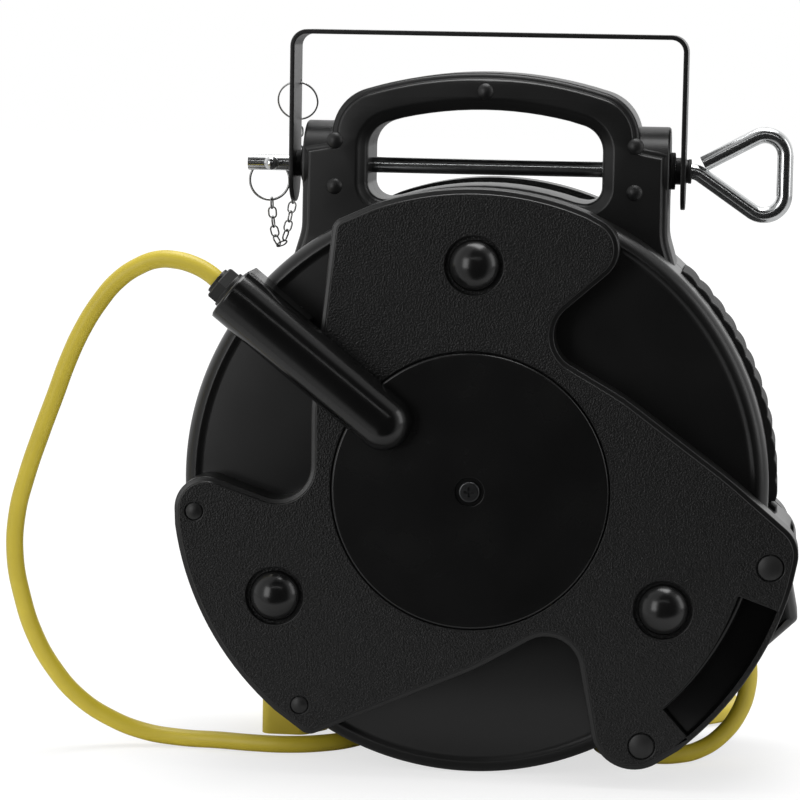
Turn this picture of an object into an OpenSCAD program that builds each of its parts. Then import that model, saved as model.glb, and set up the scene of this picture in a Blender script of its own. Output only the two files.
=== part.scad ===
// Retractable extension cord reel in a swivel bracket.
// Millimetres. The origin is the middle of the bracket's top face, where it bolts to a ceiling or a beam.
// X runs along the bracket, Y to the back of the reel, and Z up. The spool turns about Y.

/* [Drum] */
// Radius of the drum
drum_r = 172; // [168:1:180]
// From the middle plane to the flat face of each drum half
drum_half = 60; // [58:1:68]
// Wall of the drum halves
shell_wall = 3; // [2.5:0.5:4]
// Rounding of the drum's rims
rim_round = 10; // [6:1:12]

/* [Covers] */
// Height of each three-lobed cover over the drum's face
cover_h = 21; // [18:1:26]
// Wall of the covers
cover_wall = 3; // [2:0.5:4]
// Radius of the lobes' outer edge
lobe_r = 175; // [174:0.5:177]
// Radius of the long lobe that guides the cord out
mouth_r = 193.5; // [192:0.5:197]
// Radius of the smooth disc in the middle of each cover
disc_r = 80.6; // [74:0.2:84]
// Thickness of the discs
disc_t = 3.5; // [3:0.5:5]
// Radius of the circle that the round bumpers stand on
bumper_ring_r = 131; // [126:1:136]
// Radius of a bumper
bumper_r = 13.5; // [11:0.5:15]

/* [Cord inlet] */
// Width of the inlet housing
inlet_w = 33; // [30:1:36]
// Direction of the inlet, from the right and upwards
inlet_angle = 141.4; // [138:0.1:145]
// From the spool's axis to the outer end of the housing
inlet_reach = 180; // [176:1:186]
// Diameter of the cord
cord_d = 10.4; // [9:0.1:11]

/* [Handle] */
// From the spool's axis to the hanging pin
pin_height = 184; // [182:1:188]
// Outer radius of the grip about the spool's axis
grip_r = 240.5; // [236:0.5:246]
// Radial width of the grip
grip_w = 22; // [19:0.5:26]
// From the middle plane to the handle's face
handle_half = 28; // [27:0.5:32]
// From the middle to the end face of each ear
ear_x = 108.5; // [106:0.5:109]
// Radius of the ears
ear_r = 26; // [24:0.5:27]
// Wall of the handle halves
handle_wall = 3; // [2.5:0.5:4]

/* [Bracket and pin] */
// From the bracket's top face to the hanging pin
pin_drop = 80; // [78:1:100]
// Width of the bracket's strip
strip_w = 34; // [30:1:38]
// Thickness of the bracket's strip
strip_t = 2.7; // [2:0.1:4]
// From the middle to the inner face of each leg
leg_x = 115; // [114.5:0.5:120]
// Spacing of the three mounting holes
hole_pitch = 75; // [60:1:80]
// Diameter of the mounting holes
hole_d = 9; // [6:0.5:11]
// Diameter of the hanging pin
pin_d = 9.5; // [8:0.1:10]
// Diameter of the lynch pin's shank
lynch_d = 5.6; // [4:0.1:6]

/* [Spool] */
// Radius of the spool's flanges
flange_r = 150; // [135:1:158]
// Radius of the spool's barrel
barrel_r = 55; // [50:1:60]
// Radius of the wound cord
wound_r = 105; // [95:1:120]
// Diameter of the axle
axle_d = 16; // [12:0.5:18]

/* [Cord ends] */
// Width of the three-way tap
tap_w = 80; // [70:1:90]
// Height of the three-way tap
tap_h = 25; // [24:0.5:27]
// Length of the plug's grip
plug_len = 42; // [36:1:50]

/* [Hidden] */
$fn = 96;
EPS = 0.01;

// Heights
axis_z = -pin_drop - pin_height;
floor_z = axis_z - drum_r;

// Depths, measured from the middle plane
cover_y = drum_half + cover_h;
recess_t = 1.5;
disc_y = cover_y - recess_t + disc_t;
play = 0.25;

// Corners of a cover's outline about the spool's axis: x, up, rounding
notch_pt = [32.4, 88.6];
lead_pt = [88, 57];
lobe_start = 56.3;
lobe_end = 118;
notch_round = 20;
lobe_round = [19, 8];

// The long lobe
mouth_shoulder = [150, 11.4];
mouth_top = -7.1;
mouth_tip = -65.5;
mouth_inset = 1;
back_step = 7.5;
slot_r = mouth_r - 23.5;
slot_rim = 1.6;
slot_a = [-47.2, -19.6];
slot_depth = 8;
slot_bevel = 3;
post_r = mouth_r - 14.9;
post_a = [-12.5, -54.8];
post_cap_r = 7;
exit_a = [-54, -28.5];
exit_half = 36;
lip_half = 38;
lip_root = [-14, -29.5];
lip_pts = [[4.2, -28.4, 1], [13, -22, 4], [3.9, -17.7, 2]];

// Small caps over the case bolts
lobe_cap_r = 165.5;
lobe_cap_a = [-174, -127];
cap_r = 4.7;
handle_caps_xz = [[88.7, 15], [88.7, -12], [-88.7, 15], [-88.7, -12]];
top_cap_up = grip_r - grip_w / 2;

// Spool train, front to back
spool_front = -40;
spool_back = 36;
flange_t = 3;
barrel_wall = 3;
ratchet_t = 5;
ratchet_r = [40, 46];
ratchet_teeth = 10;
case_front = spool_back + ratchet_t + 0.8;
case_r = 70;
case_wall = 1.5;
pawl_pivot = [-64, 0];
pawl_tip = [-44.6, -16.2];
roller_r = 5.6;
roller_axle_d = 6;

// Handle
opening_x = 69.3;
saddle_up = 2;
neck_foot = [122, 100];
neck_x = [ear_x, 146];
grip_corner = [91, 224];
ear_inner = 84;
washer_t = 3;

// Bracket
bend_r = 10;
leg_end = 6;
ring_hole = [12.5, -32];
ring_r = 12;
ring_lean = 20;
bush_r = 6;
leg_out = leg_x + strip_t;

// Hanging pin
pin_left = -145;
collar_t = 3;
pull_path = [[pin_left, 0, 0], [leg_out + 7.3, 0, 14], [177, -33.8, 12], [177, 30.5, 12], [133, 6, 0]];
lynch_x = -131.6;
hoop_r = 12;
hoop_up = 1;
hoop_wire = 1.5;
hoop_y = pin_d / 2 + 4.2;

// Scalloped rub strip on the drum's right side
rub_a = [-4, 46];
rub_half = 26;
rub_t = 4.2;
rub_bulge = 1.1;
rub_scallops = 12;

// Chain
link_len = 7.9;
link_w = 5.8;
link_wire = 1.1;
chain_path = [[-117.4, 20.9, -53.3], [-117.4, 22, -64], [-117.6, 22.6, -76], [-118.2, 22.4, -88],
    [-119.2, 21.2, -98], [-120.6, 19, -107],
    [-122, 17.4, -116], [-123.6, 15.4, -124], [-126.3, 13, -131], [-129, 11.6, -127], [-130.6, 10.6, -118],
    [-131.3, 9.6, -109], [-131.6, 8.95, -102]];

// Route of the lead-in cord, heights above the floor
lead_pts = [[-147.2, -82, 289.6], [-154, -82, 295], [-163, -82, 299.5], [-173, -82, 302], [-184, -81.5, 302],
    [-196, -81, 297.5], [-208, -80, 289], [-219, -79, 276], [-229, -78, 260], [-238, -76, 241],
    [-246, -74, 220], [-255, -71, 197], [-264, -68, 172], [-271, -64, 147], [-273, -60, 121],
    [-270, -54, 96], [-264, -47, 72], [-254, -39, 50], [-240, -31, 31], [-222, -23, 17],
    [-202, -18, 8.5], [-180, -17, 5.4], [-155, -20, 5.4], [-132, -24, 5.4], [-112, -24, 5.4],
    [-93, -17, 5.4], [-78, -4, 5.4], [-69, 14, 5.4], [-66, 34, 5.4], [-64, 54, 5.4],
    [-54, 72, 5.4], [-36, 84, 5.4], [-14, 89, 5.4], [20, 90, 5.4], [60, 90, 5.4],
    [98, 91, 5.4], [122, 96, 5.4], [142, 109, 5.4], [153, 128, 5.4], [153, 150, 5.4],
    [142, 167, 6.5], [124, 176, 9], [104, 179, 12], [88, 179, 14.5], [76, 179, 15]];

// Route of the output cord, heights above the floor
out_pts = [[139, 0, 133], [147, 0, 113], [154, 0, 96], [159.4, 1, 79], [163.1, 2, 62],
    [163, 3, 46], [158.5, 3, 31], [149, 1, 17.5], [136, -3, 8.5], [121, -9, 5.4],
    [104, -11, 5.4], [87, -5, 5.4], [76, 9, 5.4], [73.5, 27, 5.4], [71, 43, 5.4],
    [64, 57, 5.4], [51, 66.5, 5.4], [31, 68.5, 5.4], [8, 68, 5.6], [-14, 68, 8], [-34, 68, 13],
    [-48, 68, 16.2], [-60, 68, 16], [-71.4, 68, 15]];
feed_from = [106.2, 0, 200];
feed_gap = 0.8;

// Ends of the two cords, heights above the floor
plug_at = [76, 179, 15];
plug_r = 15;
tap_at = [-72, 68, 15];
tap_front_x = -137;
tap_back_x = -98;
tap_mid_y = 67;
outlet_pitch = 25;
outlet_depth = 17;
tap_nose_x = tap_at[0];

// ---------- outlines ----------

function polar(r, a) = [r * cos(a), r * sin(a)];
function arc(r, a0, a1, n) = [for (i = [0:n]) polar(r, a0 + (a1 - a0) * i / n)];
function turned(p, a) = [p[0] * cos(a) - p[1] * sin(a), p[0] * sin(a) + p[1] * cos(a)];
function unit(v) = v / norm(v);
function left_of(v) = [-v[1], v[0]];
function cross2(a, b) = a[0] * b[1] - a[1] * b[0];
function turn(a, b) = atan2(cross2(a, b), a * b);

// Closed outline through corners [x, y, rounding], with an arc at each rounded corner
function rounded(c, step = 9) = [for (i = [0:len(c) - 1])
    let (n = len(c), p = [c[i][0], c[i][1]], q = c[(i + n - 1) % n], s = c[(i + 1) % n], r = c[i][2])
    let (a = unit(p - [q[0], q[1]]), b = unit([s[0], s[1]] - p), t = turn(a, b))
    each (r <= 0 || abs(t) < 0.5 ? [p] :
        let (side = sign(t), m = max(1, ceil(abs(t) / step)), from = p - a * r * tan(abs(t) / 2))
        let (mid = from + left_of(a) * r * side)
        [for (k = [0:m]) mid + turned(from - mid, t * k / m)])];

// The same closed outline, moved inwards by d (outline runs anticlockwise)
function inset(o, d) = [for (i = [0:len(o) - 1])
    let (n = len(o), a = unit(o[i] - o[(i + n - 1) % n]), b = unit(o[(i + 1) % n] - o[i]))
    o[i] + left_of(unit(a + b)) * d / max(0.5, cos(turn(a, b) / 2))];

function with_round(p, r) = [p[0], p[1], r];
function plain(list) = [for (p = list) with_round(p, 0)];

// One plain lobe: the notch before it and its outer edge, turned by a
function lobe(a) = [for (p = concat([with_round(lead_pt, 120), with_round(notch_pt, notch_round),
        with_round(polar(lobe_r, lobe_start), lobe_round[0])], plain(arc(lobe_r, lobe_start + 12, lobe_end - 8, 6)),
        [with_round(polar(lobe_r, lobe_end), lobe_round[1])]))
    with_round(turned([p[0], p[1]], a), p[2])];

// The long lobe's end, from its tip round to its shoulder, set in by d: half of d at the edge, all of it on top
function mouth_end(d, shoulder_round) = concat([with_round(polar(mouth_r - d / 2 + 1, mouth_tip), 25)],
    [for (k = [0:6]) with_round(polar(mouth_r - d / 2, -50 + k * 35 / 6), 0)],
    [with_round(polar(mouth_r - d / 2, mouth_top - d / 4), 20),
        with_round(mouth_shoulder - d * [0.64, 0.77], shoulder_round)]);

// Cover outline, anticlockwise from the bottom notch: long lobe, top lobe, left lobe
function cover_outline(d) = rounded(concat([with_round(turned(notch_pt, -120), notch_round)], mouth_end(d, 150),
    lobe(0), lobe(120), [with_round(turned(lead_pt, -120), 120)]));
function mouth_outline(d) = rounded(concat([with_round(turned(notch_pt, -120), 0)], mouth_end(d, 20), [[100, 0, 0]]));

function handle_corners() = concat(
    [[neck_foot[0], neck_foot[1], 0], [neck_x[0], neck_x[1], 30], [neck_x[0], pin_height, 0],
        [grip_corner[0], pin_height + 4, 0], [grip_corner[0], grip_corner[1], 28]],
    plain(arc(grip_r, 75, 105, 8)),
    [[-grip_corner[0], grip_corner[1], 28], [-grip_corner[0], pin_height + 4, 0], [-neck_x[0], pin_height, 0],
        [-neck_x[0], neck_x[1], 30], [-neck_foot[0], neck_foot[1], 0]]);
function opening_corners() = concat(
    [[-opening_x, drum_r - 9, 10]], plain([for (a = [108:-6:72]) polar(drum_r + saddle_up, a)]),
    [[opening_x, drum_r - 9, 10], [opening_x, grip_r - grip_w - 11.4, 16]],
    plain(arc(grip_r - grip_w, 77, 103, 8)), [[-opening_x, grip_r - grip_w - 11.4, 16]]);
handle_outline = rounded(handle_corners());
opening_outline = rounded(opening_corners());

function slot_arc(r) = [for (k = [0:6])
    with_round(polar(r, slot_a[0] + k * (slot_a[1] - slot_a[0]) / 6), k % 6 == 0 ? 2 : 0)];
function slot_outline(d) = let (inner = slot_arc(slot_r))
    rounded(concat(slot_arc(mouth_r - d / 2 - slot_rim), [for (k = [6:-1:0]) inner[k]]));

// ---------- helpers ----------

// Children drawn in a plane through the spool's axis (x, up), extruded forwards from y_back by h
module upright(y_back, h) {
    translate([0, y_back, axis_z]) rotate([90, 0, 0]) linear_extrude(h) children();
}

// Children placed about the spool's axis, with their z pointing forwards
module facing_front(y) {
    translate([0, y, axis_z]) rotate([90, 0, 0]) children();
}

module disc_at(p, y_back, h, r) {
    facing_front(y_back) translate([p[0], p[1], 0]) cylinder(r = r, h = h);
}

// The same thing on the back of the reel
module at_back() {
    mirror([0, 1, 0]) children();
}

// A round bar through corners [x, up, bend radius] in the plane y = 0
module bent_bar(p, d) {
    n = len(p);
    pt = [for (q = p) [q[0], q[1]]];
    dir = [for (i = [0:n - 2]) unit(pt[i + 1] - pt[i])];
    t = [for (i = [0:n - 1]) i == 0 || i == n - 1 ? 0 : turn(dir[i - 1], dir[i])];
    cut = [for (i = [0:n - 1]) p[i][2] * tan(abs(t[i]) / 2)];
    rotate([90, 0, 0]) {
        for (i = [0:n - 2]) {
            from = pt[i] + dir[i] * cut[i];
            to = pt[i + 1] - dir[i] * cut[i + 1];
            translate([from[0], from[1], 0]) rotate([0, 0, atan2(dir[i][1], dir[i][0])])
                rotate([0, 90, 0]) cylinder(d = d, h = norm(to - from));
        }
        for (i = [1:n - 2]) {
            from = pt[i] - dir[i - 1] * cut[i];
            mid = from + left_of(dir[i - 1]) * p[i][2] * sign(t[i]);
            start = atan2(from[1] - mid[1], from[0] - mid[0]) - (t[i] < 0 ? abs(t[i]) : 0);
            translate([mid[0], mid[1], 0]) rotate([0, 0, start - 1.5])
                rotate_extrude(angle = abs(t[i]) + 3, $fn = 72) translate([p[i][2], 0]) circle(d = d - 0.06, $fn = 32);
        }
    }
}

// A tube of sides faces swept along points
module swept(pts, d, sides = 10) {
    n = len(pts);
    tangent = [for (i = [0:n - 1]) unit(pts[min(i + 1, n - 1)] - pts[max(i - 1, 0)])];
    across = [for (i = [0:n - 1]) unit(cross(tangent[i], [0.12, 0.97, 0.21]))];
    over = [for (i = [0:n - 1]) cross(tangent[i], across[i])];
    rings = [for (i = [0:n - 1]) for (k = [0:sides - 1])
        pts[i] + (across[i] * cos(360 * k / sides) + over[i] * sin(360 * k / sides)) * d / 2];
    polyhedron(rings, concat([[for (k = [0:sides - 1]) k]],
        [for (i = [0:n - 2]) for (k = [0:sides - 1])
            each [[i * sides + k, (i + 1) * sides + k, i * sides + (k + 1) % sides],
                [i * sides + (k + 1) % sides, (i + 1) * sides + k, (i + 1) * sides + (k + 1) % sides]]],
        [[for (k = [sides - 1:-1:0]) (n - 1) * sides + k]]));
}

// Round cap with a straight rim and a domed face, its back at y
module cap_dome(p, y, r, rim, h) {
    ball = (r * r + h * h) / (2 * h);
    side = asin(r / ball);
    facing_front(y) translate([p[0], p[1], 0]) rotate_extrude()
        polygon(concat([[0, 0], [r, 0]],
            [for (i = [0:8]) [ball * sin(side * (1 - i / 8)), rim + h - ball + ball * cos(side * (1 - i / 8))]]));
}

// ---------- drum ----------

// Round cup of one drum half, open at the middle plane
module drum_cup() {
    r = drum_r;
    h = drum_half;
    w = shell_wall;
    profile = rounded([[0, h - w, 0], [r - w, h - w, rim_round - w], [r - w, 0, 0], [r, 0, 0],
        [r, h, rim_round], [0, h, 0]], 10);
    rotate_extrude() polygon(profile);
}

// Walls of the cord mouth on one drum half. The front half has a flange that closes the step to the back one
module mouth_walls(d) {
    difference() {
        union() {
            linear_extrude(drum_half) difference() {
                polygon(inset(mouth_outline(d), mouth_inset));
                polygon(inset(mouth_outline(d), mouth_inset + 2));
                circle(r = drum_r - shell_wall / 2);
            }
            if (d < back_step) linear_extrude(2) difference() {
                polygon(inset(mouth_outline(d), mouth_inset));
                polygon(inset(mouth_outline(back_step), mouth_inset + 2));
                circle(r = drum_r - shell_wall / 2);
            }
        }
        translate([0, 0, -1]) linear_extrude(exit_half + 1) exit_sector(drum_r - 1, mouth_r + 5);
    }
}

module exit_sector(r0, r1) {
    polygon(concat(arc(r0, exit_a[0], exit_a[1], 6), arc(r1, exit_a[1], exit_a[0], 6)));
}

module drum_half_shell(d) {
    facing_front(0) difference() {
        union() {
            drum_cup();
            mouth_walls(d);
            translate([0, 0, drum_half - 6]) cylinder(d = axle_d + 14, h = 6);
            for (a = lobe_cap_a) rotate([0, 0, a]) translate([lobe_cap_r - 3, 0, 0]) cylinder(r = 5, h = drum_half - 1);
        }
        translate([0, 0, -1]) cylinder(d = axle_d + 0.1, h = drum_half + 2);
        for (a = lobe_cap_a) rotate([0, 0, a]) translate([lobe_cap_r - 3, 0, -1]) cylinder(d = 5.2, h = drum_half + 2);
        translate([0, 0, -1]) linear_extrude(exit_half + 1)
            polygon(concat(arc(drum_r - shell_wall - 6, -54, -8, 8), arc(drum_r + 3, -8, -54, 8)));
    }
}

module front_shell() {
    color("#161616") drum_half_shell(0);
}

module rear_shell() {
    color("#161616") at_back() drum_half_shell(back_step);
}

// Three-lobed cover: a plate with a skirt that stands on the drum's face, and a pocket along the long lobe
module cover(d) {
    difference() {
        upright(-drum_half, cover_h) polygon(cover_outline(d));
        difference() {
            upright(-drum_half + EPS, cover_h - cover_wall) polygon(inset(cover_outline(d), cover_wall));
            upright(-cover_y + slot_depth + cover_wall, slot_depth) polygon(inset(slot_outline(d), -cover_wall));
            for (k = [0:2]) disc_at(polar(bumper_ring_r, 90 + 120 * k), -cover_y + cover_wall + 4, 6, bumper_r + 6);
            for (a = post_a) disc_at(polar(post_r, a), -drum_half, cover_h, 6);
            for (a = lobe_cap_a) disc_at(polar(lobe_cap_r - 3, a), -drum_half, cover_h, 5);
            disc_at([0, 0], -cover_y + cover_wall + 2, 6, disc_r + 3);
        }
        disc_at([0, 0], -cover_y + recess_t, 6, disc_r + play);
        disc_at([0, 0], -drum_half + 1, cover_h + 2, disc_r - 14);
        for (k = [0:2]) disc_at(polar(bumper_ring_r, 90 + 120 * k), -cover_y + 3, 6, bumper_r + 3.5);
        for (a = post_a) {
            disc_at(polar(post_r, a), -drum_half + 1, cover_h + 2, roller_axle_d / 2 + 0.05);
            disc_at(polar(post_r, a), -cover_y + 1, 3, post_cap_r + 0.8);
        }
        for (a = lobe_cap_a) disc_at(polar(lobe_cap_r - 3, a), -drum_half + 1, cover_h + 2, 2.6);
        upright(-cover_y + slot_depth, slot_depth + 1) polygon(slot_outline(d));
        facing_front(0) rotate([0, 0, slot_a[0]]) rotate_extrude(angle = slot_a[1] - slot_a[0])
            polygon([[slot_r - slot_bevel, cover_y + 0.1], [slot_r + 0.5, cover_y - slot_bevel - 0.5],
                [slot_r + 0.5, cover_y + 0.1]]);
    }
}

module front_cover() {
    color("#1c1c1c") cover(0);
}

module rear_cover() {
    color("#1c1c1c") at_back() cover(back_step);
}

// ---------- discs and inlet ----------

inlet_top = 105;
inlet_mid = inlet_top - inlet_w / 2;
inlet_from = 64;
inlet_step = 98;
cord_y = 82;

module plain_disc() {
    difference() {
        union() {
            disc_at([0, 0], -disc_y + disc_t, disc_t - 1, disc_r);
            disc_at([0, 0], -disc_y + 1, 1, disc_r - 1);
        }
        disc_at([0, 0], -disc_y + 1.5, 3, 8.5);
        disc_at([0, 0], -disc_y + disc_t + 1, disc_t + 3, 3.2);
    }
}

// Children placed with x running out along the inlet and z to the front
module along_inlet() {
    translate([0, 0, axis_z]) rotate([0, -inlet_angle, 0]) rotate([90, 0, 0]) children();
}

// Bullet-shaped cord inlet on the front disc, cut to stand clear of the cover's edge
module inlet_housing() {
    difference() {
        union() {
            along_inlet() {
                intersection() {
                    translate([inlet_from, 0, inlet_mid]) {
                        sphere(d = inlet_w);
                        rotate([0, 90, 0]) cylinder(d = inlet_w, h = inlet_reach - inlet_from);
                    }
                    translate([0, -inlet_w / 2, inlet_mid - 0.5]) cube([inlet_reach, inlet_w, inlet_w]);
                }
                translate([inlet_from, 0, disc_y - disc_t / 2]) cylinder(d = inlet_w, h = inlet_mid - disc_y + disc_t / 2);
                translate([inlet_from, -inlet_w / 2, cover_y + play])
                    cube([inlet_reach - inlet_from, inlet_w, inlet_mid - cover_y - play]);
            }
            difference() {
                along_inlet() translate([inlet_step, -inlet_w / 2, drum_half + play])
                    cube([inlet_reach - inlet_step, inlet_w, inlet_mid - drum_half - play]);
                upright(-drum_half + 1, cover_h + 1 + play) polygon(inset(cover_outline(0), -play));
            }
        }
        along_inlet() translate([inlet_from, 0, cord_y]) rotate([0, 90, 0]) cylinder(d = cord_d + 0.6, h = inlet_reach);
    }
}

module inlet_disc() {
    color("#191919") {
        plain_disc();
        inlet_housing();
    }
}

module spring_disc() {
    color("#191919") at_back() plain_disc();
}

module disc_screw() {
    facing_front(-disc_y + 1.4) {
        difference() {
            cylinder(r = 6, h = 2.4);
            for (a = [0, 90]) rotate([0, 0, a]) translate([-3, -0.6, 1]) cube([6, 1.2, 3]);
        }
        translate([0, 0, -14]) cylinder(r = 2.5, h = 14);
    }
}

module disc_screws() {
    color("#2b2b2b") {
        disc_screw();
        at_back() disc_screw();
    }
}

module gland_cap() {
    color("#141414") along_inlet() translate([inlet_reach, 0, cord_y]) rotate([0, 90, 0]) difference() {
            union() {
                cylinder(d = 27, h = 8);
                cylinder(d = 19, h = 11);
            }
            translate([0, 0, -1]) cylinder(d = cord_d + 0.4, h = 14);
            translate([-15, -1.2, 3]) cube([12, 2.4, 10]);
        }
}

// ---------- bumpers and caps ----------

module bumper(a) {
    cap_dome(polar(bumper_ring_r, a), -cover_y + 3, bumper_r, 3, 8.5);
}

module front_bumpers() {
    color("#101010") for (k = [0:2]) bumper(90 + 120 * k);
}

module rear_bumpers() {
    color("#101010") at_back() for (k = [0:2]) bumper(90 + 120 * k);
}

module cover_caps() {
    color("#121212") for (s = [0, 1]) mirror([0, s, 0])
        for (a = lobe_cap_a) cap_dome(polar(lobe_cap_r - 3, a), -cover_y, cap_r, 0.4, 1.2);
}

module post_caps() {
    color("#121212") for (s = [0, 1]) mirror([0, s, 0])
        for (a = post_a) cap_dome(polar(post_r, a), -cover_y + 1, post_cap_r, 1.2, 1.2);
}

module handle_caps() {
    color("#121212") for (s = [0, 1]) mirror([0, s, 0]) {
        for (p = handle_caps_xz) cap_dome([p[0], pin_height + p[1]], -handle_half, cap_r, 0.4, 1.2);
        cap_dome([0, top_cap_up], -handle_half, cap_r, 0.4, 1.2);
    }
}

module case_bolts() {
    color("#8d8f92") {
        for (a = lobe_cap_a) disc_at(polar(lobe_cap_r - 3, a), cover_y, 2 * cover_y, 2.5);
        for (p = handle_caps_xz) disc_at([p[0], pin_height + p[1]], handle_half, 2 * handle_half, 2);
        disc_at([0, top_cap_up], handle_half, 2 * handle_half, 2);
    }
}

// ---------- handle ----------

// One half of the neck and grip: a shell with its outline's walls, ears and bolt posts
module handle_half_shell() {
    difference() {
        union() {
            difference() {
                upright(0, handle_half) difference() {
                    polygon(handle_outline);
                    polygon(opening_outline);
                    circle(r = drum_r + 0.1);
                }
                upright(1, handle_half - handle_wall + 1) difference() {
                    polygon(inset(handle_outline, handle_wall));
                    polygon(inset(opening_outline, -handle_wall));
                    circle(r = drum_r + handle_wall);
                }
            }
            for (p = handle_caps_xz) disc_at([p[0], pin_height + p[1]], 0, handle_half, 4);
            disc_at([0, top_cap_up], 0, handle_half, 4);
            intersection() {
                translate([0, -50, -200 - pin_drop]) translate([-200, 0, 0]) cube([400, 50, 400]);
                for (s = [-1, 1]) translate([s * ear_inner, 0, -pin_drop]) rotate([0, s * 90, 0])
                    cylinder(r = ear_r, h = ear_x - ear_inner);
            }
            for (s = [-1, 1]) intersection() {
                translate([s * (opening_x + 1), 0, -pin_drop]) rotate([0, s * 90, 0])
                    cylinder(d = pin_d + 8, h = ear_x - opening_x - 1);
                translate([-200, -50, -200]) cube([400, 50, 400]);
            }
        }
        translate([-200, 0, -pin_drop]) rotate([0, 90, 0]) cylinder(d = pin_d + 0.14, h = 400);
        for (p = handle_caps_xz) disc_at([p[0], pin_height + p[1]], 1, handle_half + 2, 2.1);
        disc_at([0, top_cap_up], 1, handle_half + 2, 2.1);
    }
}

module handle_front() {
    color("#181818") handle_half_shell();
}

module handle_rear() {
    color("#181818") at_back() handle_half_shell();
}

// ---------- side strip, lip and rollers ----------

module rub_strip() {
    from = rub_a[0];
    step = (rub_a[1] - from) / rub_scallops;
    bulge = [for (f = [0:5]) drum_r + rub_t + rub_bulge * (1 - pow(f / 3 - 1, 2))];
    color("#101010") upright(rub_half, 2 * rub_half) difference() {
        polygon(concat(arc(drum_r - 1, rub_a[1], from, 18),
            [for (k = [0:rub_scallops - 1]) for (f = [0:5]) polar(bulge[f], from + step * (k + f / 6))],
            [polar(drum_r + rub_t, rub_a[1])]));
        circle(r = drum_r, $fn = 240);
        polygon(mouth_outline(0));
    }
}

module cord_lip() {
    outer = mouth_r - mouth_inset;
    color("#1a1a1a") upright(0, lip_half) difference() {
        polygon(rounded(concat([for (a = lip_root) with_round(polar(outer - 1, a), 0)],
            [for (p = lip_pts) with_round(polar(mouth_r + p[0], p[1]), p[2])])));
        circle(r = outer);
    }
}

module roller(a) {
    difference() {
        union() {
            disc_at(polar(post_r, a), drum_half - 8, 2 * (drum_half - 8), roller_r - 0.8);
            for (y = [-30, 10, 50]) disc_at(polar(post_r, a), y, 20, roller_r);
        }
        disc_at(polar(post_r, a), drum_half, 2 * drum_half, roller_axle_d / 2 + 0.05);
    }
}

module upper_roller() {
    color("#3a3a3a") roller(post_a[0]);
}

module lower_roller() {
    color("#3a3a3a") roller(post_a[1]);
}

module roller_axles() {
    color("#a8abae") for (a = post_a) disc_at(polar(post_r, a), cover_y - 1.2, 2 * cover_y - 2.4, roller_axle_d / 2);
}

// ---------- spool train ----------

module main_axle() {
    color("#a8abae") facing_front(drum_half - 0.5) cylinder(d = axle_d, h = 2 * drum_half - 1);
}

// Half of the spool: flange, barrel and a web with its bearing seat
module spool_front_half() {
    color("#262626") facing_front(0) difference() {
        union() {
            translate([0, 0, -spool_front - flange_t]) cylinder(r = flange_r, h = flange_t);
            translate([0, 0, 2]) cylinder(r = barrel_r, h = -spool_front - 2);
        }
        translate([0, 0, 1]) cylinder(r = barrel_r - barrel_wall, h = -spool_front - flange_t - 1);
        cylinder(r = axle_d / 2 + 4, h = 60);
        for (k = [0:5]) rotate([0, 0, 60 * k]) translate([(flange_r + wound_r) / 2 + 6, 0, 0]) cylinder(r = 11, h = 60);
    }
}

module spool_rear_half() {
    color("#262626") facing_front(0) difference() {
        union() {
            translate([0, 0, -spool_back]) cylinder(r = flange_r, h = flange_t);
            translate([0, 0, -spool_back]) cylinder(r = barrel_r, h = spool_back + 1.9);
        }
        translate([0, 0, -spool_back + flange_t]) cylinder(r = barrel_r - barrel_wall, h = spool_back + 3);
        translate([0, 0, -60]) cylinder(r = axle_d / 2 + 4, h = 70);
        for (k = [0:5]) rotate([0, 0, 60 * k]) translate([(flange_r + wound_r) / 2 + 6, 0, -50]) cylinder(r = 11, h = 60);
    }
}

module spool_bushes() {
    color("#c8b070") for (y = [spool_front + flange_t, spool_back]) facing_front(y) difference() {
        cylinder(r = axle_d / 2 + 3.95, h = flange_t);
        translate([0, 0, -1]) cylinder(r = axle_d / 2 + 0.05, h = flange_t + 2);
    }
}

module wound_cord() {
    turns = 6;
    half = (spool_back - spool_front - 2 * flange_t - 1) / 2;
    mid = (spool_back + spool_front) / 2;
    color("#c9bc55") facing_front(mid) rotate_extrude() difference() {
        union() {
            translate([barrel_r + 0.2, -half]) square([wound_r - barrel_r - half / turns, 2 * half]);
            for (k = [0:turns - 1]) translate([wound_r - half / turns, -half + half / turns * (2 * k + 1)])
                circle(r = half / turns);
        }
        translate([0, -half - 1]) square([barrel_r + 0.2, 2 * half + 2]);
    }
}

module slip_rings() {
    color("#b87333") for (k = [0:2]) facing_front(spool_front) difference() {
        cylinder(r = 26 + 8 * k, h = 2.5);
        translate([0, 0, -1]) cylinder(r = 21 + 8 * k, h = 5);
    }
}

module brush_block() {
    color("#7a4a2a") {
        translate([-8, -drum_half + shell_wall, axis_z - 48]) cube([16, 9, 30]);
        for (k = [0:2]) translate([0, -drum_half + shell_wall + 9, axis_z - 23.5 - 8 * k]) rotate([-90, 0, 0])
            cylinder(d = 4, h = spool_front - 2.8 + drum_half - shell_wall - 9);
    }
}

// Saw-toothed ring on the back of the spool
module ratchet() {
    step = 360 / ratchet_teeth;
    color("#8f9294") upright(spool_back + ratchet_t, ratchet_t) difference() {
        polygon([for (k = [0:ratchet_teeth - 1]) for (f = [0:4])
            polar(ratchet_r[0] + (ratchet_r[1] - ratchet_r[0]) * f / 4, 194 + step * k + (step - 1) * f / 4)]);
        circle(r = 30);
    }
}

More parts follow.
